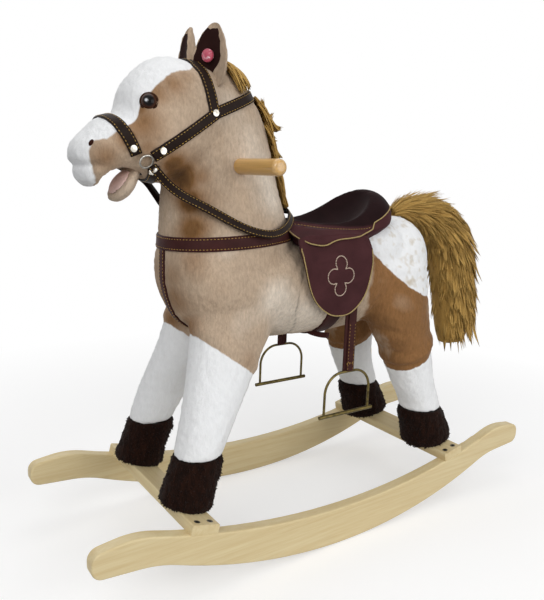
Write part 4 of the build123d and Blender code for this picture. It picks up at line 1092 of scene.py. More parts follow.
class HORSE_OT_skin(bpy.types.Operator):
    """Plush skin of the body, neck, head and legs, with its markings"""

    bl_idname = "horse.skin"
    bl_label = "Plush Skin"

    def execute(self, context):
        colours, sizes = context.scene.horse_colours, context.scene.horse_sizes
        skin = self.form(context, sizes.voxel)
        places = coordinates(skin)
        x, y, z = (places / MM).T
        blaze = side_distance(places, BLAZE_EDGE)
        front_sock = np.where(x > 60, 256 + 0.74 * (x - 144) - z, -50)
        rear_sock = np.where(x < -60, 220 - 0.45 * (x + 130) - z, -50)
        rump = np.where(x < -40, side_distance(places, RUMP_EDGE), -50)
        white = np.maximum.reduce((blaze, front_sock, rear_sock, rump))
        thigh = np.where(x < -40, -side_distance(places, THIGH_EDGE), -MARK_REACH)
        seamed = (np.abs(y) > 20) & (z > 280) & (x > 0)
        flank = np.where(seamed, np.abs(side_distance(places, BODY_SEAM)), 50)
        # sewn seams draw in, the stuffing swells above the socks, and the thigh folds
        push = -1.5 * bell(flank, 2.4) - 1.1 * bell(white, 2.2)
        push += 4.0 * bell(rear_sock + 17, 10) + 2.2 * bell(front_sock + 13, 9)
        for line, depth in FOLDS:
            gap = side_distance(places, line)
            push += np.where(np.abs(y) > 45, depth * (0.7 * bell(gap - 9, 6) - bell(gap, 4)), 0)
        # the nose and the upper lip are two rolls
        snout = 1 / (1 + np.exp(-(x - 320) / 3))
        push += snout * (1.8 * bell(z - 496, 8) - 4.6 * bell(z - 512, 5))
        push += snout * 1.6 * bell(z - 534, 12)
        places = places + normals(skin) * (push * MM)[:, None]
        # the upper lip lies behind the nose, and the crown is low before the ears
        lip = 1 / (1 + np.exp((z - 507) / 3.5)) / (1 + np.exp(-(x - 314) / 4))
        places[:, 0] -= lip * LIP_BACK * MM
        places[:, 2] += lip * LIP_UP * MM
        places[:, 2] -= bell(x - 206, 25) * np.clip((z - 616) / 22, 0, 1) * CROWN_DROP * MM
        # the roof of the mouth is hollow, to leave room for the tongue when the jaw closes
        roof = np.clip(-2 * normals(skin)[:, 2], 0, 1) * np.exp(-(((x - 286) / 22) ** 4) - (y / 21) ** 4)
        places[:, 2] += np.where((z > 486) & (z < 528), roof, 0) * ROOF_HOLLOW * MM
        # the bridge is dished where the noseband lies
        along = (x - 304) * 0.66 - (z - 583) * 0.75
        above = np.clip(((x - 308) * 0.75 + (z - 578.5) * 0.66 + 46) / 42, 0, 1)
        dish = BRIDGE_DISH * bell(along, np.where(along < 0, 20, 15))
        dish *= above**2 * (3 - 2 * above) * (x > 240)
        places -= np.outer(dish, (0.75, 0, 0.66)) * MM
        move(skin, places)
        apply_modifier(skin, "SMOOTH", factor=0.5, iterations=2)
        made["skin"] = surface(skin)
        paint(skin, "white_mm", np.clip(white, -MARK_REACH, MARK_REACH))
        paint(skin, "rump", rump > -5)
        paint(skin, "thigh_mm", np.clip(thigh, -MARK_REACH, MARK_REACH))
        paint(skin, "seam", bell(flank, 1.1))
        paint(skin, "brown", self.airbrush(np.stack((x, np.abs(y), z), 1)))
        ruffle(skin, 7, 0.9)
        finish_piece(skin, brushed_plush(colours), replaces=PLUSH)
        return {"FINISHED"}

    def form(self, context, voxel):
        """One rounded form of the stuffed solids, with what lies inside them."""
        parts = [merged_copy("plush_skin", *PLUSH, *STUFFED)]
        # the handle's hole is closed, so that the pile meets the rod
        bpy.ops.object.select_all(action="DESELECT")
        bpy.ops.mesh.primitive_cylinder_add(
            radius=11 * MM, depth=112 * MM, location=(153 * MM, 0, 518 * MM), rotation=(math.pi / 2, 0, 0)
        )
        parts.append(context.object)
        # the rump swells up to the seat's rear corners
        x, y, z = RUMP_SWELL
        for side in (1, -1):
            axes = Matrix.Diagonal([reach * MM for reach in RUMP_REACH])
            parts.append(dab("swell", Vector((x, side * y, z)) * MM, *axes))
        skin = soften(joined("plush_skin", parts), voxel, 14)
        skin.name = "plush_skin"
        return skin

    def airbrush(self, places):
        """How far each place of the left half, in mm, is shaded, or less than 0 where it is pale: a paler
        coat with painted highlights.
        """
        shade = np.zeros(len(places))
        for centre, reach, depth in SHADES:
            shade = np.maximum(shade, depth * bell(np.linalg.norm(places - centre, axis=1), reach))
        for centre, reach, depth in PALES_AND_HIGHLIGHTS:
            shade -= depth * bell(np.linalg.norm(places - centre, axis=1), reach)
        return shade


class HORSE_OT_hooves(bpy.types.Operator):
    """Long-pile hooves"""

    bl_idname = "horse.hooves"
    bl_label = "Hooves"

    def execute(self, context):
        colours = context.scene.horse_colours
        pile = long_pile("hoof_pile", colours.hoof, colours.hoof_tips)
        hooves = ("front_left_hoof", "front_right_hoof", "rear_left_hoof", "rear_right_hoof")
        for index, node in enumerate(hooves):
            hoof = soft_copy(node + "_pile", 2.2 * MM, 8, node, "leg_posts")
            ruffle(hoof, 9, 1.6, index)
            # the body of the pile is painted mostly in the painted shade of its roots
            paint(hoof, "pile_tip", 0.25)
            tufts = pile_tufts(node + "_tufts", hoof, 2400, 3.0 * MM, 1.4 * MM, (0, 0, -1.0), index)
            hoof = joined(node + "_pile", [hoof, tufts])
            finish_piece(hoof, pile, replaces=(node,))
        return {"FINISHED"}


# places of the nostrils and eyes in the side view, and of the eyes' middles, in mm
NOSTRIL = (332.5, 537.5)
EYE = (268, 586)
EYE_DEPTH = 41
EYE_RADIUS = 9.4 * MM
# the way in which the nostrils slant
NOSTRIL_SLANT = Vector((-0.4, 0, 1))
# half width of an ear along its height, both as shares
EAR_WIDTH = (
    (0, 0.66), (0.12, 0.84), (0.26, 0.97), (0.42, 1.0), (0.58, 0.93), (0.72, 0.78), (0.83, 0.6),
    (0.91, 0.43), (0.965, 0.28), (1, 0.1),
)
EAR_HALF_WIDTH = 27
# how far the edges of the left and the right ear curl forwards, in mm, and how far the ears face outwards
EAR_CUP = {1: 7, -1: 10}
EAR_TURN = {1: math.radians(27), -1: math.radians(13)}
# depth in mm of an ear's front and back, in its middle
EAR_FRONT = 6.5
EAR_BACK = -7
# radius and rise in mm of the press patch, from its edge to its middle
PATCH_PROFILE = (
    (7.6, -3), (7.7, -0.6), (7.3, 0.5), (6.7, 0.7), (6.2, 0.4), (5.6, 1.1), (3.8, 1.8), (1.8, 2.2),
)


class HORSE_OT_face(bpy.types.Operator):
    """Eyes, nostrils, ears, mouth and jaw"""

    bl_idname = "horse.face"
    bl_label = "Face"

    def execute(self, context):
        colours = context.scene.horse_colours
        plush = bpy.data.materials["brushed_plush"]
        nostrils = []
        for side in (1, -1):
            place, normal = from_side(made["skin"], *NOSTRIL, side)
            up = (NOSTRIL_SLANT - normal * normal.dot(NOSTRIL_SLANT)).normalized()
            axes = (normal.cross(up) * 2.6 * MM, up * 4.4 * MM, normal * 1.1 * MM)
            nostrils.append(dab("nostril", place, *axes))
        felt = short_velour("nostril_felt", linear("#2E150D"))
        finish_piece(joined("nostril_felt", nostrils), felt, replaces=("nostrils",))
        eyes, lids = zip(*[self.eye(side) for side in (1, -1)])
        finish_piece(joined("eye_balls", eyes), eye_acrylic(), replaces=("eyes",))
        lids = joined("eye_lids", lids)
        finish_piece(lids, short_velour("eyelid_velour", linear("#3A2316")))
        velour = short_velour("ear_velour", colours.lining)
        linings = []
        for name, side in SIDES:
            ear = self.ear(name, side)
            plain_coat(ear, 0.1)
            ruffle(ear, 6, 0.8)
            finish_piece(ear, plush, replaces=(name + "_ear",))
            linings.append(self.lining(side))
        linings = joined("ear_lining_velour", linings)
        finish_piece(linings, velour, replaces=("ear_linings",))
        patch = self.patch()
        finish_piece(patch, foil_patch(colours), body="ear_button", replaces=("ear_button",))
        pink = short_velour("mouth_velour", colours.pink)
        mouth = soft_copy("mouth_velour", 1.8 * MM, 5, "mouth_lining")
        # it is drawn up into the head, its front most
        places = coordinates(mouth)
        places[:, 2] += (5 + np.clip((places[:, 0] / MM - 278) / 20, 0, 1) * 6) * MM
        move(mouth, places)
        finish_piece(mouth, pink, replaces=("mouth_lining",))
        jaw = soft_copy("lower_jaw_plush", 1.8 * MM, 7, "lower_jaw")
        self.fill_mouth(jaw)
        # a brown below 0 paints the jaw a little paler, partly a paler coat and partly a painted highlight
        plain_coat(jaw, -0.25)
        ruffle(jaw, 6, 0.7)
        finish_piece(jaw, plush, body="jaw", replaces=("lower_jaw",))
        tongue = soft_copy("tongue_velour", 1.5 * MM, 5, "tongue_pad")
        self.fill_mouth(tongue)
        finish_piece(tongue, pink, body="jaw", replaces=("tongue_pad",))
        return {"FINISHED"}

    def fill_mouth(self, piece):
        """Swell a piece of the stuffed jaw, so that it comes up to the lip."""
        root, lift = np.array((268, 0, 500)) * MM, np.array((0, 0, 5)) * MM
        move(piece, (coordinates(piece) - root) * (1.1, 1.06, 1.04) + root + lift)

    def eye(self, side):
        """An eyeball turned to face outwards, painted by the angle from its middle and with a painted
        highlight, and its lid.
        """
        normal = from_side(made["skin"], *EYE, side)[1]
        centre = Vector((EYE[0], side * EYE_DEPTH, EYE[1])) * MM
        facing = (normal + Vector((0.25, side * 0.5, 0))).normalized()
        bpy.ops.object.select_all(action="DESELECT")
        bpy.ops.mesh.primitive_uv_sphere_add(segments=64, ring_count=40, radius=EYE_RADIUS, location=centre)
        bpy.ops.object.transform_apply(location=True, rotation=False, scale=False)
        ball = bpy.context.object
        away = (coordinates(ball) - np.array(centre)) / EYE_RADIUS
        # painted highlight: a pale spot on the side that faces the lamps, in the place of a lamp's
        # reflection
        spot = Vector((0.70, side * 0.70, 0.13)).normalized()
        from_middle, off = (np.arccos(np.clip(away @ np.array(way), -1, 1)) for way in (facing, spot))
        paint(ball, "from_middle", from_middle / math.pi)
        paint(ball, "painted_highlight", np.clip((0.24 - off) / 0.12, 0, 1) * 0.9)
        across = facing.orthogonal().normalized()
        other = facing.cross(across)
        ring = []
        for angle in np.linspace(0, math.tau, 40, endpoint=False):
            near = centre + (across * math.cos(angle) + other * math.sin(angle)) * 9.6 * MM
            found, up = made["skin"].find_nearest(near)[:2]
            ring.append(found.lerp(near, 0.5) + up * 0.2 * MM)
        lid = tube("eye_lid", smooth_line(ring, 64, closed=True), 1.5 * MM, 8, closed=True)
        outward(lid)
        return ball, lid

    def ear_point(self, side, share, across, depth):
        """A point of an ear: share of its height and of its half width outwards, and mm forwards."""
        wide = EAR_HALF_WIDTH * np.interp(share, *zip(*EAR_WIDTH))
        turn = EAR_TURN[side]
        facing = Vector((math.cos(turn), side * math.sin(turn), 0))
        outer = Vector((-math.sin(turn), side * math.cos(turn), 0))
        if side > 0:
            middle = Vector((180, 30 + 6 * share, 608 + 77 * share))
        else:
            middle = Vector((179, -24 - 6 * share, 608 + 82 * share))
        taper = np.interp(share, (0, 0.5, 0.85, 1), (1, 0.9, 0.6, 0.2))
        return (middle + outer * (across * wide) + facing * depth * taper) * MM

    def ear(self, name, side):
        """Cupped leaf: rings of front and back points, closed at both ends."""
        steps = np.linspace(-1, 1, 11)
        cup = EAR_CUP[side]
        points = []
        for share, _ in EAR_WIDTH:
            points += [self.ear_point(side, share, u, EAR_FRONT + cup * u * u) for u in steps]
            backs = steps[-2:0:-1]
            points += [self.ear_point(side, share, u, EAR_BACK + (cup - EAR_BACK) * u * u) for u in backs]
        rings, count = len(EAR_WIDTH), 2 * len(steps) - 2
        ear = mesh_object(name + "_ear_plush", points, ring_faces(rings, count) + end_faces(rings, count))
        outward(ear)
        apply_modifier(ear, "SUBSURF", levels=2, render_levels=2)
        return ear

    def lining(self, side):
        """Smooth dark pad inside an ear, nearer its inner edge, so that a wide rim shows outside it."""
        shares = np.linspace(0.1, 0.94, 15)
        steps = np.linspace(0, 1, 11)
        points = []
        for share in shares:
            low, high = (-0.93, np.interp(share, (0.1, 0.42), (-0.15, 0.6))) if side > 0 else (-0.6, 0.93)
            for step in steps:
                u = low + (high - low) * step
                edge = min(1, step * 7, (1 - step) * 7, (0.94 - share) * 30)
                depth = EAR_FRONT + EAR_CUP[side] * u * u + 2.4 * edge - 0.7
                points.append(self.ear_point(side, share, u, depth))
        pad = mesh_object("ear_lining", points, grid_faces(len(shares), len(steps)))
        facing = sum(p.normal.x for p in pad.data.polygons)
        apply_modifier(pad, "SOLIDIFY", thickness=2 * MM, offset=-1 if facing > 0 else 1)
        outward(pad)
        apply_modifier(pad, "SUBSURF", levels=1, render_levels=1)
        return pad

    def patch(self):
        """Domed round patch over the press button, with a sewn ring near its edge."""
        turn = EAR_TURN[1]
        facing = Vector((math.cos(turn), math.sin(turn), 0))
        across = Vector((-math.sin(turn), math.cos(turn), 0))
        low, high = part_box("ear_button")
        centre = (low + high) / 2
        reach = 0.5 * (Vector(high) - Vector(low)).dot(facing) - 7 * MM * math.sin(turn)
        points = []
        sides = 32
        for radius, rise in PATCH_PROFILE:
            for angle in np.linspace(0, math.tau, sides, endpoint=False):
                spoke = across * math.cos(angle) + Vector((0, 0, 1)) * math.sin(angle)
                points.append(Vector(centre) + facing * (reach + rise * MM) + spoke * radius * MM)
        rings = len(PATCH_PROFILE)
        patch = mesh_object("press_patch", points, ring_faces(rings, sides) + end_faces(rings, sides))
        outward(patch)
        return patch


# Mane and tail


# mesh width of the pressed hair under the locks
CORE_VOXEL = 2.4 * MM
# x, z, y, half width and half depth of the tail, along its line
TAIL = (
    (-172, 456, 0, 9, 8), (-190, 463, 0, 16, 13), (-212, 463, 0, 25, 19), (-240, 458, 2, 33, 26),
    (-272, 444, 4, 39, 35), (-301, 414, 7, 41, 41), (-315, 370, 10, 41, 42), (-324, 318, 13, 40, 41),
    (-331, 276, 16, 38, 39), (-336, 250, 18, 33, 34),
)
# strands of the tail, how many of them stand in tufts, and how many make a tuft
TAIL_STRANDS = 3000
TAIL_TUFTED = 900
TUFT_STRANDS = 5
# locks that lie on the neck and on the poll
MANE_LOCKS = 420
POLL_LOCKS = 320
# points of the mane's flicks in the side view, in mm
FLICKS = ((90, 609), (72, 590), (56, 573), (66, 556), (53, 533), (60, 514), (50, 494), (44, 471))


class HORSE_OT_hair(bpy.types.Operator):
    """Mane, poll tuft and tail of combed locks"""

    bl_idname = "horse.hair"
    bl_label = "Mane and Tail"

    def execute(self, context):
        colours, sizes = context.scene.horse_colours, context.scene.horse_sizes
        hair = synthetic_hair(colours)
        half = sizes.lock_width / 2
        crest = [bpy.data.objects["plush_skin"].data]
        for name, locks, body in (
            ("tail", tail_locks(half), "tail"),
            ("mane", mane_locks(half), "horse"),
            ("poll_tuft", tuft_locks(half), "horse"),
        ):
            core = soft_copy(name + "_core", CORE_VOXEL, 10, name)
            places = coordinates(core)
            deep = np.where(places[:, 0] < -0.21, 13, 3) if name == "tail" else np.full(len(places), 3)
            move(core, places - normals(core) * (deep * MM)[:, None])
            if name == "tail":
                core = soften(joined("tail_core", [core, tail_core()]), CORE_VOXEL, 6)
            paint(core, "shade", 0.3)
            paint(core, "tip", 0.1)
            paint(core, "strand", coordinates(core) @ np.array(((900, 0, 0), (700, 0, 900), (60, 40, 0))))
            if name != "tail":
                crest.append(core.data.copy())
            piece = joined(name + "_hair", [core, locks_mesh(name + "_locks", locks)])
            finish_piece(piece, hair, body=body, replaces=(name,))
        # the coat with the pressed hair, on which the strap over the nape lies
        shell = bmesh.new()
        for mesh in crest:
            shell.from_mesh(mesh)
        made["crest"] = BVHTree.FromBMesh(shell)
        shell.free()
        return {"FINISHED"}


def tail_point(along, turn, share):
    """A point of the tail at a share of its length, an angle round it and a share of its girth, in mm."""
    rows = np.array(TAIL, dtype=float)[:, (0, 2, 1, 3, 4)]
    line = rows[:, :3]
    reach = distances(line)
    here = along * reach[-1]
    inside = np.clip(here, 0, reach[-1])
    behind, centre, ahead = (between(line, reach, inside + step) for step in (-9, 0, 9))
    ahead = (ahead - behind).normalized()
    centre += ahead * max(0, here - reach[-1])
    wide, deep = (np.interp(here, reach, rows[:, k]) for k in (3, 4))
    rise = Vector((-ahead.z, 0, ahead.x))
    return centre + (Vector((0, math.cos(turn), 0)) * wide + rise * (math.sin(turn) * deep)) * share


def tail_core():
    """The tail's round form under its locks."""
    points = []
    rings, sides = 48, 28
    for ring in range(rings):
        along = ring / (rings - 1)
        end = min(1, along / 0.05, (1 - along) / 0.08)
        share = 0.84 * math.sqrt(max(0.02, 1 - (1 - end) ** 2))
        points += [tail_point(along, math.tau * k / sides, share) * MM for k in range(sides)]
    core = mesh_object("tail_form", points, ring_faces(rings, sides) + end_faces(rings, sides))
    outward(core)
    return core


def tail_locks(half):
    """Fine strands of long pile that lie along the tail's form, and tufts that meet in one lifted tip."""
    dice = np.random.default_rng(11)
    locks = []
    for number in range(TAIL_STRANDS):
        tuft = number < TAIL_TUFTED
        if not tuft or number % TUFT_STRANDS == 0:
            start, turn = dice.uniform(-0.02, 0.9), dice.uniform(0, math.tau)
            long = dice.uniform(0.12, 0.24)
            lift = dice.uniform(0.14, 0.36) if tuft else dice.uniform(0.03, 0.16)
            if number % 8 == 0:
                # the short pile round the root stands up more
                start, long = dice.uniform(-0.02, 0.2), dice.uniform(0.09, 0.14)
                lift = dice.uniform(0.3, 0.65)
            shade = 0.15 + 0.4 * dice.random()
        spread = dice.normal(0, 0.16 if tuft else 0.1)
        back = dice.uniform(0, 0.06)
        path = []
        for t in np.linspace(0, 1, 6):
            girth = 0.78 + 0.13 * t + lift * t**2
            along = start - back + (long + back) * t
            path.append(tail_point(along, turn + spread * (1 - t**1.4), girth) * MM)
        out = (tail_point(start, turn, 1) - tail_point(start, turn, 0)).normalized()
        wide = dice.uniform(0.35, 0.6) if tuft else dice.uniform(0.22, 0.42)
        # painted highlight: locks that face up are painted lighter
        locks.append((path, half * wide, out, shade + 0.2 * dice.random() + 0.2 * max(0, out.z)))
    return locks


def mane_locks(half):
    """Locks that lie down the back of the neck, and bundles that flick out at their ends."""
    dice = np.random.default_rng(23)
    tree = made["skin"]
    plans = []
    for _ in range(MANE_LOCKS):
        root, aside = dice.uniform(490, 605), dice.normal(0, 13)
        plans.append((root, aside, dice.uniform(40, 70), dice.uniform(5, 12), None))
    for x, z in FLICKS:
        for _ in range(20 if z > 520 else 32):
            tip = Vector((x + dice.normal(0, 1.0), dice.normal(4, 2), z + dice.normal(0, 1.5))) * MM
            root = min(z + dice.uniform(38, 62), 606)
            plans.append((root, dice.normal(2, 10), dice.uniform(34, 56), dice.uniform(7, 13), tip))
    locks = []
    for z, y, long, lift, tip in plans:
        path = []
        for t in np.linspace(0, 1, 10):
            here = Vector((-20, y * (1 - 0.2 * t), max(z - long * t, 464))) * MM
            found = tree.ray_cast(here, Vector((1, 0, 0)))[0]
            if not found:
                break
            place = found + Vector((-1, 0, 0.2)) * (lift * math.sin(0.5 + 2.1 * t) + 1.5) * MM
            path.append(place.lerp(tip, t**2.6) if tip else place)
        if len(path) == 10:
            out = Vector((-0.85, y / 40, 0.2)).normalized()
            locks.append((path, half * dice.uniform(0.6, 1.1), out, dice.uniform(0.15, 0.75)))
    return locks


def tuft_locks(half):
    """Locks that part on the poll and lie over its sides, behind the ears."""
    dice = np.random.default_rng(31)
    tree = made["skin"]
    locks = []
    for _ in range(POLL_LOCKS):
        side = dice.choice((-1, 1))
        x = dice.uniform(126, 168)
        start, span = dice.uniform(-8, 26), dice.uniform(40, 72)
        lift = dice.uniform(3, 9)
        path = []
        for t in np.linspace(0, 1, 9):
            turn = math.radians(start + span * t)
            spoke = Vector((0, side * math.sin(turn), math.cos(turn)))
            middle = Vector((x - 16 * t, 0, 592)) * MM
            found = tree.ray_cast(middle + spoke * 0.12, -spoke, 0.12)[0]
            # the strap over the nape holds the ends
            if not found or found.z / MM < 584 - 0.42 * (found.x / MM - 189):
                break
            path.append(found + spoke * (lift * math.sin(0.3 + 2.5 * t) + 1) * MM)
        if len(path) > 4:
            out = Vector((-0.2, side * 0.5, 0.8)).normalized()
            locks.append((path, half * dice.uniform(0.4, 0.9), out, dice.uniform(0.2, 0.8)))
    return locks


# Bridle and harness


class HORSE_OT_bridle(bpy.types.Operator):
    """Bridle straps, rings and rivets"""

    bl_idname = "horse.bridle"
    bl_label = "Bridle"

    def execute(self, context):
        colours, sizes = context.scene.horse_colours, context.scene.horse_sizes
        leather = coated_leather("bridle_leather", colours.strap)
        tree = made["skin"]
        wide, thick = sizes.bridle_width, sizes.strap_thickness

        def band(name, line, centre, span, keep, reach=0.16, tree=tree):
            """Band round the head in the plane of a line in the side view."""
            along = Vector((line[1][0] - line[0][0], 0, line[1][1] - line[0][1])).normalized()
            middle = Vector((centre[0], 0, centre[1])) * MM
            stations = fan(tree, middle, along, OUT_LEFT, -span, span, 160, reach)
            stations = even([s for s in stations if keep(s[0] / MM)], 60)
            finish_strap(name, leather, stations, wide, thick, tree)
            return stations

        band("noseband", ((284, 528), (308, 569)), (288.7, 536), 150, lambda p: p.z > 526)
        band("browband", ((190, 572), (203, 652)), (193.6, 594), 150, lambda p: p.z > 574)
        crest = made["crest"]
        band("nape_strap", ((189, 579), (108, 613)), (165, 589), 150, lambda p: p.x < 191, tree=crest)
        chin = band("chin_strap", ((266, 524), (250, 488)), (258, 508), 110, lambda p: p.z < 514, 0.058)
        made["rivets"] = [rivet(chin[4]), rivet(chin[-5])]
        for name, side in SIDES:
            line = zip(np.linspace(264, 187, 50), np.linspace(525, 580, 50))
            stations = [from_side(tree, x, z, side) for x, z in line]
            stations = even([s for s in stations if s[0]], 40)
            finish_strap("cheek_strap_" + name, leather, stations, wide, thick, tree)
        dress(("bridle_rivets", "bridle_rings"), worn_metal("nickel_plate", "#B9B5AD", "#7D7972", 0.28))
        return {"FINISHED"}


CHEST_WIDTH = 14 * MM
GIRTH_WIDTH = 28 * MM
GIRTH_END_WIDTH = 8 * MM


class HORSE_OT_harness(bpy.types.Operator):
    """Breast collar, chest strap and girth"""

    bl_idname = "horse.harness"
    bl_label = "Harness"

    def execute(self, context):
        colours, sizes = context.scene.horse_colours, context.scene.horse_sizes
        leather = coated_leather("harness_leather", colours.harness)
        tree = made["skin"]
        thick = sizes.strap_thickness
        along = Vector((255 - 62, 0, 418 - 431)).normalized()
        stations = fan(tree, Vector((150, 0, 425)) * MM, along, OUT_LEFT, -150, 150, 200)
        stations = even([s for s in stations if s[0].x > 66 * MM], 90)
        finish_strap("breast_collar", leather, stations, sizes.harness_width, thick, tree)
        down = Vector((0, 0, -1))
        stations = fan(tree, Vector((120, 0, 385)) * MM, Vector((1, 0, 0)), down, -13, 128, 160, 0.3)
        finish_strap("chest_strap", leather, even(stations, 70), CHEST_WIDTH, thick, tree)
        stations = fan(tree, Vector((-3, 0, 362)) * MM, down, OUT_LEFT, -100, 100, 160)
        girth = strap("girth_leather", even(stations, 80), GIRTH_WIDTH, thick, tree, stitched=False)
        # the loose end past the girth's buckle
        tip = []
        for x, y, z in smooth_line(((12, 20, 287), (10, 34, 284), (5, 48, 283), (-1, 61, 284)), 16):
            tip.append((Vector((x, y, z)) * MM, Vector((0.8, 0.25, 0.3))))
        end = strap("girth_end", tip, GIRTH_END_WIDTH, thick, stitched=False)
        girth = joined("girth_leather", [girth, end])
        finish_piece(girth, leather, replaces=("girth",))
        return {"FINISHED"}


REIN_ROUTE = (
    (268, 51, 514), (252, 53, 495), (233, 53, 482), (212, 55, 472), (194, 61, 463), (174, 70, 451),
    (153, 77, 441), (134, 80, 436), (116, 79, 434), (97, 72, 437), (78, 60, 444), (60, 40, 453),
    (48, 18, 459), (45, 0, 460),
)
# the far rein hangs steeper from its ring
FAR_ROUTE = (
    (268, -51, 514), (251, -51, 507), (234, -52, 498), (219, -55, 481), (205, -60, 465),
    (186, -67, 450),
)


class HORSE_OT_reins(bpy.types.Operator):
    """Reins that hang from the bridle rings and loop round the withers"""

    bl_idname = "horse.reins"
    bl_label = "Reins"

    def execute(self, context):
        leather = bpy.data.materials["bridle_leather"]
        route = list(REIN_ROUTE) + [(x, -y, z) for x, y, z in REIN_ROUTE[-2:5:-1]] + list(FAR_ROUTE[::-1])
        curve = bpy.data.curves.new("rein_line", "CURVE")
        curve.dimensions = "3D"
        curve.resolution_u = 8
        spline = curve.splines.new("NURBS")
        spline.points.add(len(route) - 1)
        for point, (x, y, z) in zip(spline.points, route):
            point.co = (x * MM, y * MM, z * MM, 1)
        spline.order_u = 3
        spline.use_endpoint_u = True
        line = bpy.data.objects.new("rein_line", curve)
        points = [v.co.copy() for v in bpy.data.meshes.new_from_object(line).vertices]
        bpy.data.objects.remove(line)
        stations = []
        for place in points:
            stations.append((place, Vector((place.x - 0.12, place.y * 1.3, 0.06)).normalized()))
        width = 11 * MM
        reins = strap("rein_leather", stations, width, 2.2 * MM)
        finish_piece(reins, leather, replaces=("reins",))
        # a rivet closes each end's loop round its ring
        near = next(i for i, p in enumerate(points) if (p - points[0]).length > 5 * MM)
        far = next(i for i, p in enumerate(points[::-1]) if (p - points[-1]).length > 5 * MM)
        rivets = made["rivets"] + [rivet(stations[near]), rivet(stations[-1 - far])]
        rivets = joined("rein_rivets", rivets)
        finish_piece(rivets, bpy.data.materials["nickel_plate"])
        return {"FINISHED"}


# Saddle and stirrups


FLAP = (
    (73, 418), (65, 380), (51, 346), (29, 326), (7, 319), (-18, 323), (-41, 345), (-51, 378),
    (-55, 412), (-40, 430), (16, 432), (66, 430),
)
SKIRT_TOP = ((76, 447), (46, 444), (14, 440), (-20, 438), (-48, 438), (-60, 440))
SKIRT_EDGE = (
    (77, 445), (73, 435), (68, 426), (60, 420.5), (52, 418.5), (42, 417), (31, 417.5), (20, 421.5),
    (7, 424.6), (-9, 426), (-29, 428.6), (-46, 432), (-60, 438),
)
CANTLE_EDGE = (
    (-69, 66, 443), (-85, 66, 452), (-103, 58, 461), (-121, 42, 468), (-131, 21, 472), (-134, 0, 473),
)
# middle of the seat's dish, and of the motif on the flaps, in mm
DISH_MIDDLE = (-14, 0, 518)
MOTIF_MIDDLE = (7.5, 376)
BEAD_RADIUS = 0.95 * MM


def piping(name, path):
    """Two-ply twisted cord along an edge of the saddle."""
    return tube(name, path, 0.85 * MM, sides=6, lobes=2, pitch=4 * MM)


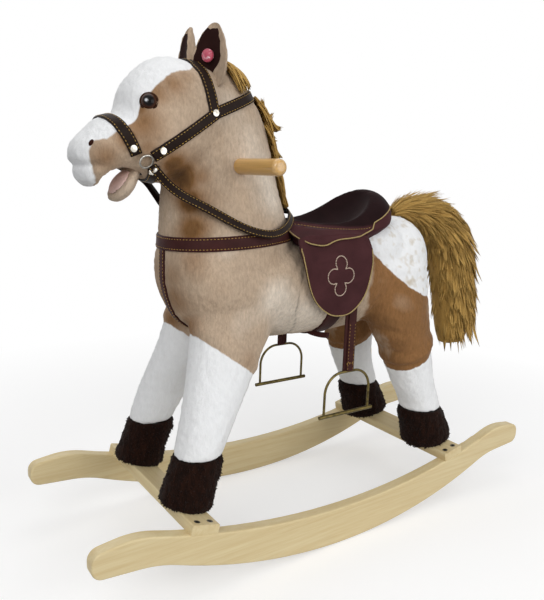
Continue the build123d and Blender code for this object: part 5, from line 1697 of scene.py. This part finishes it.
class HORSE_OT_saddle(bpy.types.Operator):
    """Padded seat, skirts, flaps, piping and the beaded motif"""

    bl_idname = "horse.saddle"
    bl_label = "Saddle"

    def execute(self, context):
        colours = context.scene.horse_colours
        suede = saddle_suede(colours)
        gold = lurex_thread("gold_piping", colours.piping)
        seat = soft_copy("saddle_seat_pad", 3.0 * MM, 5, "saddle_seat")
        inflate(seat, 3.0 * MM, 1 - self.hollow(seat))
        self.undercut(seat)
        apply_modifier(seat, "SUBSURF", levels=1, render_levels=1)
        # painted shade: the dish and the top above the seam are marked to be painted darker
        paint(seat, "hollow", np.maximum(self.hollow(seat), self.above_seam(seat)))
        finish_piece(seat, suede, replaces=("saddle_seat",))
        tree = surface(seat)
        cords, beads, ends = [], [], []
        for name, side in SIDES:
            flap = self.flap(name, side)
            finish_piece(flap, suede, replaces=("saddle_flap_" + name,))
            flap_tree = surface(flap)
            edge = []
            for x, z in smooth_line(FLAP[:9], 90):
                found = flap_tree.find_nearest(Vector((x, side * 91, z)) * MM)[0]
                edge.append(found + OUT_LEFT * side * 0.4 * MM)
            cords.append(piping("flap_piping_" + name, smooth_line(edge, 260)))
            skirt, edge, top = self.skirt(name, side, tree, flap_tree)
            finish_piece(skirt, suede)
            cords.append(piping("skirt_piping_" + name, edge))
            ends.append(edge[-1])
            beads.append(self.motif(name, side, flap_tree))
            stitch_rows.append(top)
        finish_piece(joined("motif_beads", beads), glass_beads(colours))
        # the cord round the cantle runs on from the skirts' cords
        route = [tree.find_nearest(Vector(p) * MM)[0] for p in smooth_line(CANTLE_EDGE, 60)]
        route += [Vector((p.x, -p.y, p.z)) for p in route[-2::-1]]
        cords.append(piping("cantle_piping", smooth_line([ends[0]] + route + [ends[1]], 240)))
        finish_piece(joined("saddle_piping", cords), gold)
        return {"FINISHED"}

    def flap(self, name, side):
        """A flap, crowned a little towards its middle."""
        node = merged_copy("flap_form", "saddle_flap_" + name)
        tree = surface(node)
        outline = smooth_line(FLAP, 84, closed=True)
        middle = Vector((8, 378))
        points = []
        shrink = (1.0, 0.97, 0.92, 0.82, 0.66, 0.45, 0.22)
        for scale in shrink:
            for p in outline:
                x, z = middle + (p - middle) * scale
                face = tree.find_nearest(Vector((x, side * 96, z)) * MM)[0]
                crown = 2.2 * (1 - scale**4) - 0.6
                points.append(Vector((x * MM, face.y + side * crown * MM, z * MM)))
        bpy.data.objects.remove(node)
        rings, count = len(shrink), len(outline)
        faces = ring_faces(rings, count) + end_faces(rings, count)[1:]
        flap = mesh_object("saddle_flap_pad_" + name, points, faces)
        outward(flap)
        facing = sum(p.normal.y for p in flap.data.polygons) * side
        apply_modifier(flap, "SOLIDIFY", thickness=3 * MM, offset=-1 if facing > 0 else 1)
        outward(flap)
        return flap

    def hollow(self, seat):
        """How far each point of the seat lies in its dish, from 0 to 1."""
        gap = np.linalg.norm(coordinates(seat) / MM - np.array(DISH_MIDDLE), axis=1)
        return np.clip((94 - gap) / 3, 0, 1)

    def above_seam(self, seat):
        """How far each point of the seat lies above its sewn edge, from 0 to 1."""
        x, _, z = (coordinates(seat) / MM).T
        line = sorted([(p[0], p[1]) for p in SKIRT_TOP] + [(p[0], p[2]) for p in CANTLE_EDGE])
        return np.clip((z - np.interp(x, *zip(*line)) - 1) / 3, 0, 1)

    def undercut(self, seat):
        """Draw in the low rear sides of the seat, over which the rump swells."""
        places = coordinates(seat)
        x, _, z = (places / MM).T
        low = np.interp(-x, (50, 72, 101, 123, 134), (433, 438, 443, 451, 456))
        places[:, 1] *= 1 - 0.26 * np.clip((low - z) / 15, 0, 1) * np.clip((-50 - x) / 10, 0, 1)
        move(seat, places)

    def skirt(self, name, side, seat_tree, flap_tree):
        """A skirt with a wavy edge, laid over the seat's side and the top of the flap."""
        top = smooth_line(SKIRT_TOP, 56)
        edge = smooth_line(SKIRT_EDGE, 56)
        points, row = [], []
        rows = 6
        for a, b in zip(top, edge):
            for k in range(rows):
                share = k / (rows - 1)
                x, z = a.lerp(b, share)
                found = [from_side(each, x, z, side)[0] for each in (seat_tree, flap_tree, made["skin"])]
                out = max(p.y * side for p in found if p)
                points.append(Vector((x * MM, side * (out + (1.0 + 2.4 * share) * MM), z * MM)))
        # it bridges the step from the flap to the seat
        lay = np.array([p.y for p in points]).reshape(-1, rows)
        for _ in range(8):
            lay[1:-1] = (lay[:-2] + 2 * lay[1:-1] + lay[2:]) / 4
        for point, y in zip(points, lay.ravel()):
            point.y = y
        skirt = mesh_object("saddle_skirt_" + name, points, grid_faces(len(top), rows))
        apply_modifier(skirt, "SMOOTH", factor=0.5, iterations=4)
        laid = [Vector(p) for p in coordinates(skirt)]
        for top_point in laid[::rows]:
            row.append((top_point + Vector((0, side * 0.5 * MM, 0.4 * MM)), Vector((0, side * 0.8, 0.6))))
        facing = sum(p.normal.y for p in skirt.data.polygons) * side
        apply_modifier(skirt, "SOLIDIFY", thickness=2.4 * MM, offset=-1 if facing > 0 else 1)
        outward(skirt)
        line = [p + Vector((0, side * 0.3 * MM, 0)) for p in laid[rows - 1 :: rows]]
        return skirt, smooth_line(line, 220), row

    def motif(self, name, side, tree):
        """Four-lobed outline of small beads on a flap."""
        lobes = ((0, 0, 12.5), (0, 17.5, 10), (0, -17.5, 10), (-12.7, 0, 10.5), (12.7, 0, 10.5))
        outline = []
        for angle in np.linspace(0, math.tau, 240, endpoint=False):
            way = (math.cos(angle), math.sin(angle))
            best = 0.0
            for x, z, radius in lobes:
                ahead = x * way[0] + z * way[1]
                room = radius**2 - (x * x + z * z) + ahead**2
                best = max(best, ahead + math.sqrt(room)) if room > 0 else best
            outline.append((MOTIF_MIDDLE[0] + best * way[0], MOTIF_MIDDLE[1] + best * way[1]))
        bead = bmesh.new()
        bmesh.ops.create_icosphere(bead, subdivisions=1, radius=BEAD_RADIUS)
        points, faces = [], []
        for x, z in smooth_line(outline, 84, closed=True):
            found = from_side(tree, x, z, side)[0] + OUT_LEFT * side * 0.4 * MM
            first = len(points)
            points += [found + v.co for v in bead.verts]
            faces += [tuple(first + v.index for v in face.verts) for face in bead.faces]
        bead.free()
        return mesh_object("beads_" + name, points, faces)


# height under which a stirrup leather hangs free of the flap
FLAP_FOOT = 0.306


class HORSE_OT_stirrups(bpy.types.Operator):
    """Stirrup leathers and brass stirrups"""

    bl_idname = "horse.stirrups"
    bl_label = "Stirrups"

    def execute(self, context):
        leather = bpy.data.materials["harness_leather"]
        gold = lurex_thread("gold_thread", context.scene.horse_colours.gold)
        for name, side in SIDES:
            node, body = "stirrup_leather_" + name, "leather_" + name
            low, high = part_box(node)
            middle_x = (low.x + high.x) / 2
            middle_y = (low.y + high.y) / 2
            first = len(stitch_rows)
            parts = []
            for shift_x, shift_y in ((-2.0, 0.3), (3.2, -1.7)):
                stations = []
                for z in np.linspace(high.z - 2 * MM, low.z + 4 * MM, 40):
                    place = Vector((middle_x + shift_x * MM, middle_y + side * shift_y * MM, z))
                    stations.append((place, OUT_LEFT * side))
                parts.append(strap("layer", stations, 14 * MM, 1.5 * MM, stitched=shift_y > 0))
            strip = joined("stirrup_leather_strap_" + name, parts)
            finish_piece(strip, leather, body=body, replaces=(node,))
            # the part under the flap is left plain, so that the strap swings free
            rows = [[s for s in row if s[0].z < FLAP_FOOT] for row in stitch_rows[first:]]
            del stitch_rows[first:]
            tack = Vector((middle_x, middle_y + side * 1.9 * MM, low.z + 16 * MM))
            for lift in (0, 1.4):
                ends = [tack + Vector((dx * MM, 0, lift * MM)) for dx in (-9, 9)]
                rows.append([(p, OUT_LEFT * side) for p in ends])
            sewing = stitches("stirrup_leather_stitching_" + name, rows, 3.2 * MM, 1.8 * MM)
            finish_piece(sewing, gold, body=body)
        dress(("stirrup_left", "stirrup_right"), worn_metal("antique_brass", "#6A5D37", "#403822", 0.42))
        return {"FINISHED"}


class HORSE_OT_stitching(bpy.types.Operator):
    """Gold stitching of the straps and saddle"""

    bl_idname = "horse.stitching"
    bl_label = "Stitching"

    def execute(self, context):
        sizes = context.scene.horse_sizes
        sewing = stitches("gold_stitching", stitch_rows, sizes.stitch, sizes.stitch_gap)
        finish_piece(sewing, bpy.data.materials["gold_thread"])
        return {"FINISHED"}


# Panel and registration


STEPS = (
    HORSE_OT_stage, HORSE_OT_base, HORSE_OT_inside, HORSE_OT_skin, HORSE_OT_hooves, HORSE_OT_face,
    HORSE_OT_hair, HORSE_OT_bridle, HORSE_OT_harness, HORSE_OT_reins, HORSE_OT_saddle,
    HORSE_OT_stirrups, HORSE_OT_stitching,
)


class HORSE_PT_panel(bpy.types.Panel):
    """Steps, colours and sizes of the horse"""

    bl_label = "Plush Rocking Horse"
    bl_idname = "HORSE_PT_panel"
    bl_space_type = "VIEW_3D"
    bl_region_type = "UI"
    bl_category = "Horse"

    def draw(self, context):
        for step in STEPS:
            self.layout.operator(step.bl_idname)
        for group in (context.scene.horse_colours, context.scene.horse_sizes):
            for name in group.bl_rna.properties.keys():
                if name not in ("rna_type", "name"):
                    self.layout.prop(group, name)


CLASSES = (HorseColours, HorseSizes) + STEPS + (HORSE_PT_panel,)


def register():
    for each in CLASSES:
        bpy.utils.register_class(each)
    bpy.types.Scene.horse_colours = bpy.props.PointerProperty(type=HorseColours)
    bpy.types.Scene.horse_sizes = bpy.props.PointerProperty(type=HorseSizes)


def unregister():
    del bpy.types.Scene.horse_colours
    del bpy.types.Scene.horse_sizes
    for each in reversed(CLASSES):
        bpy.utils.unregister_class(each)


def main():
    register()
    for step in STEPS:
        group, name = step.bl_idname.split(".")
        getattr(getattr(bpy.ops, group), name)()
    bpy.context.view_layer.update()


if __name__ == "__main__":
    main()
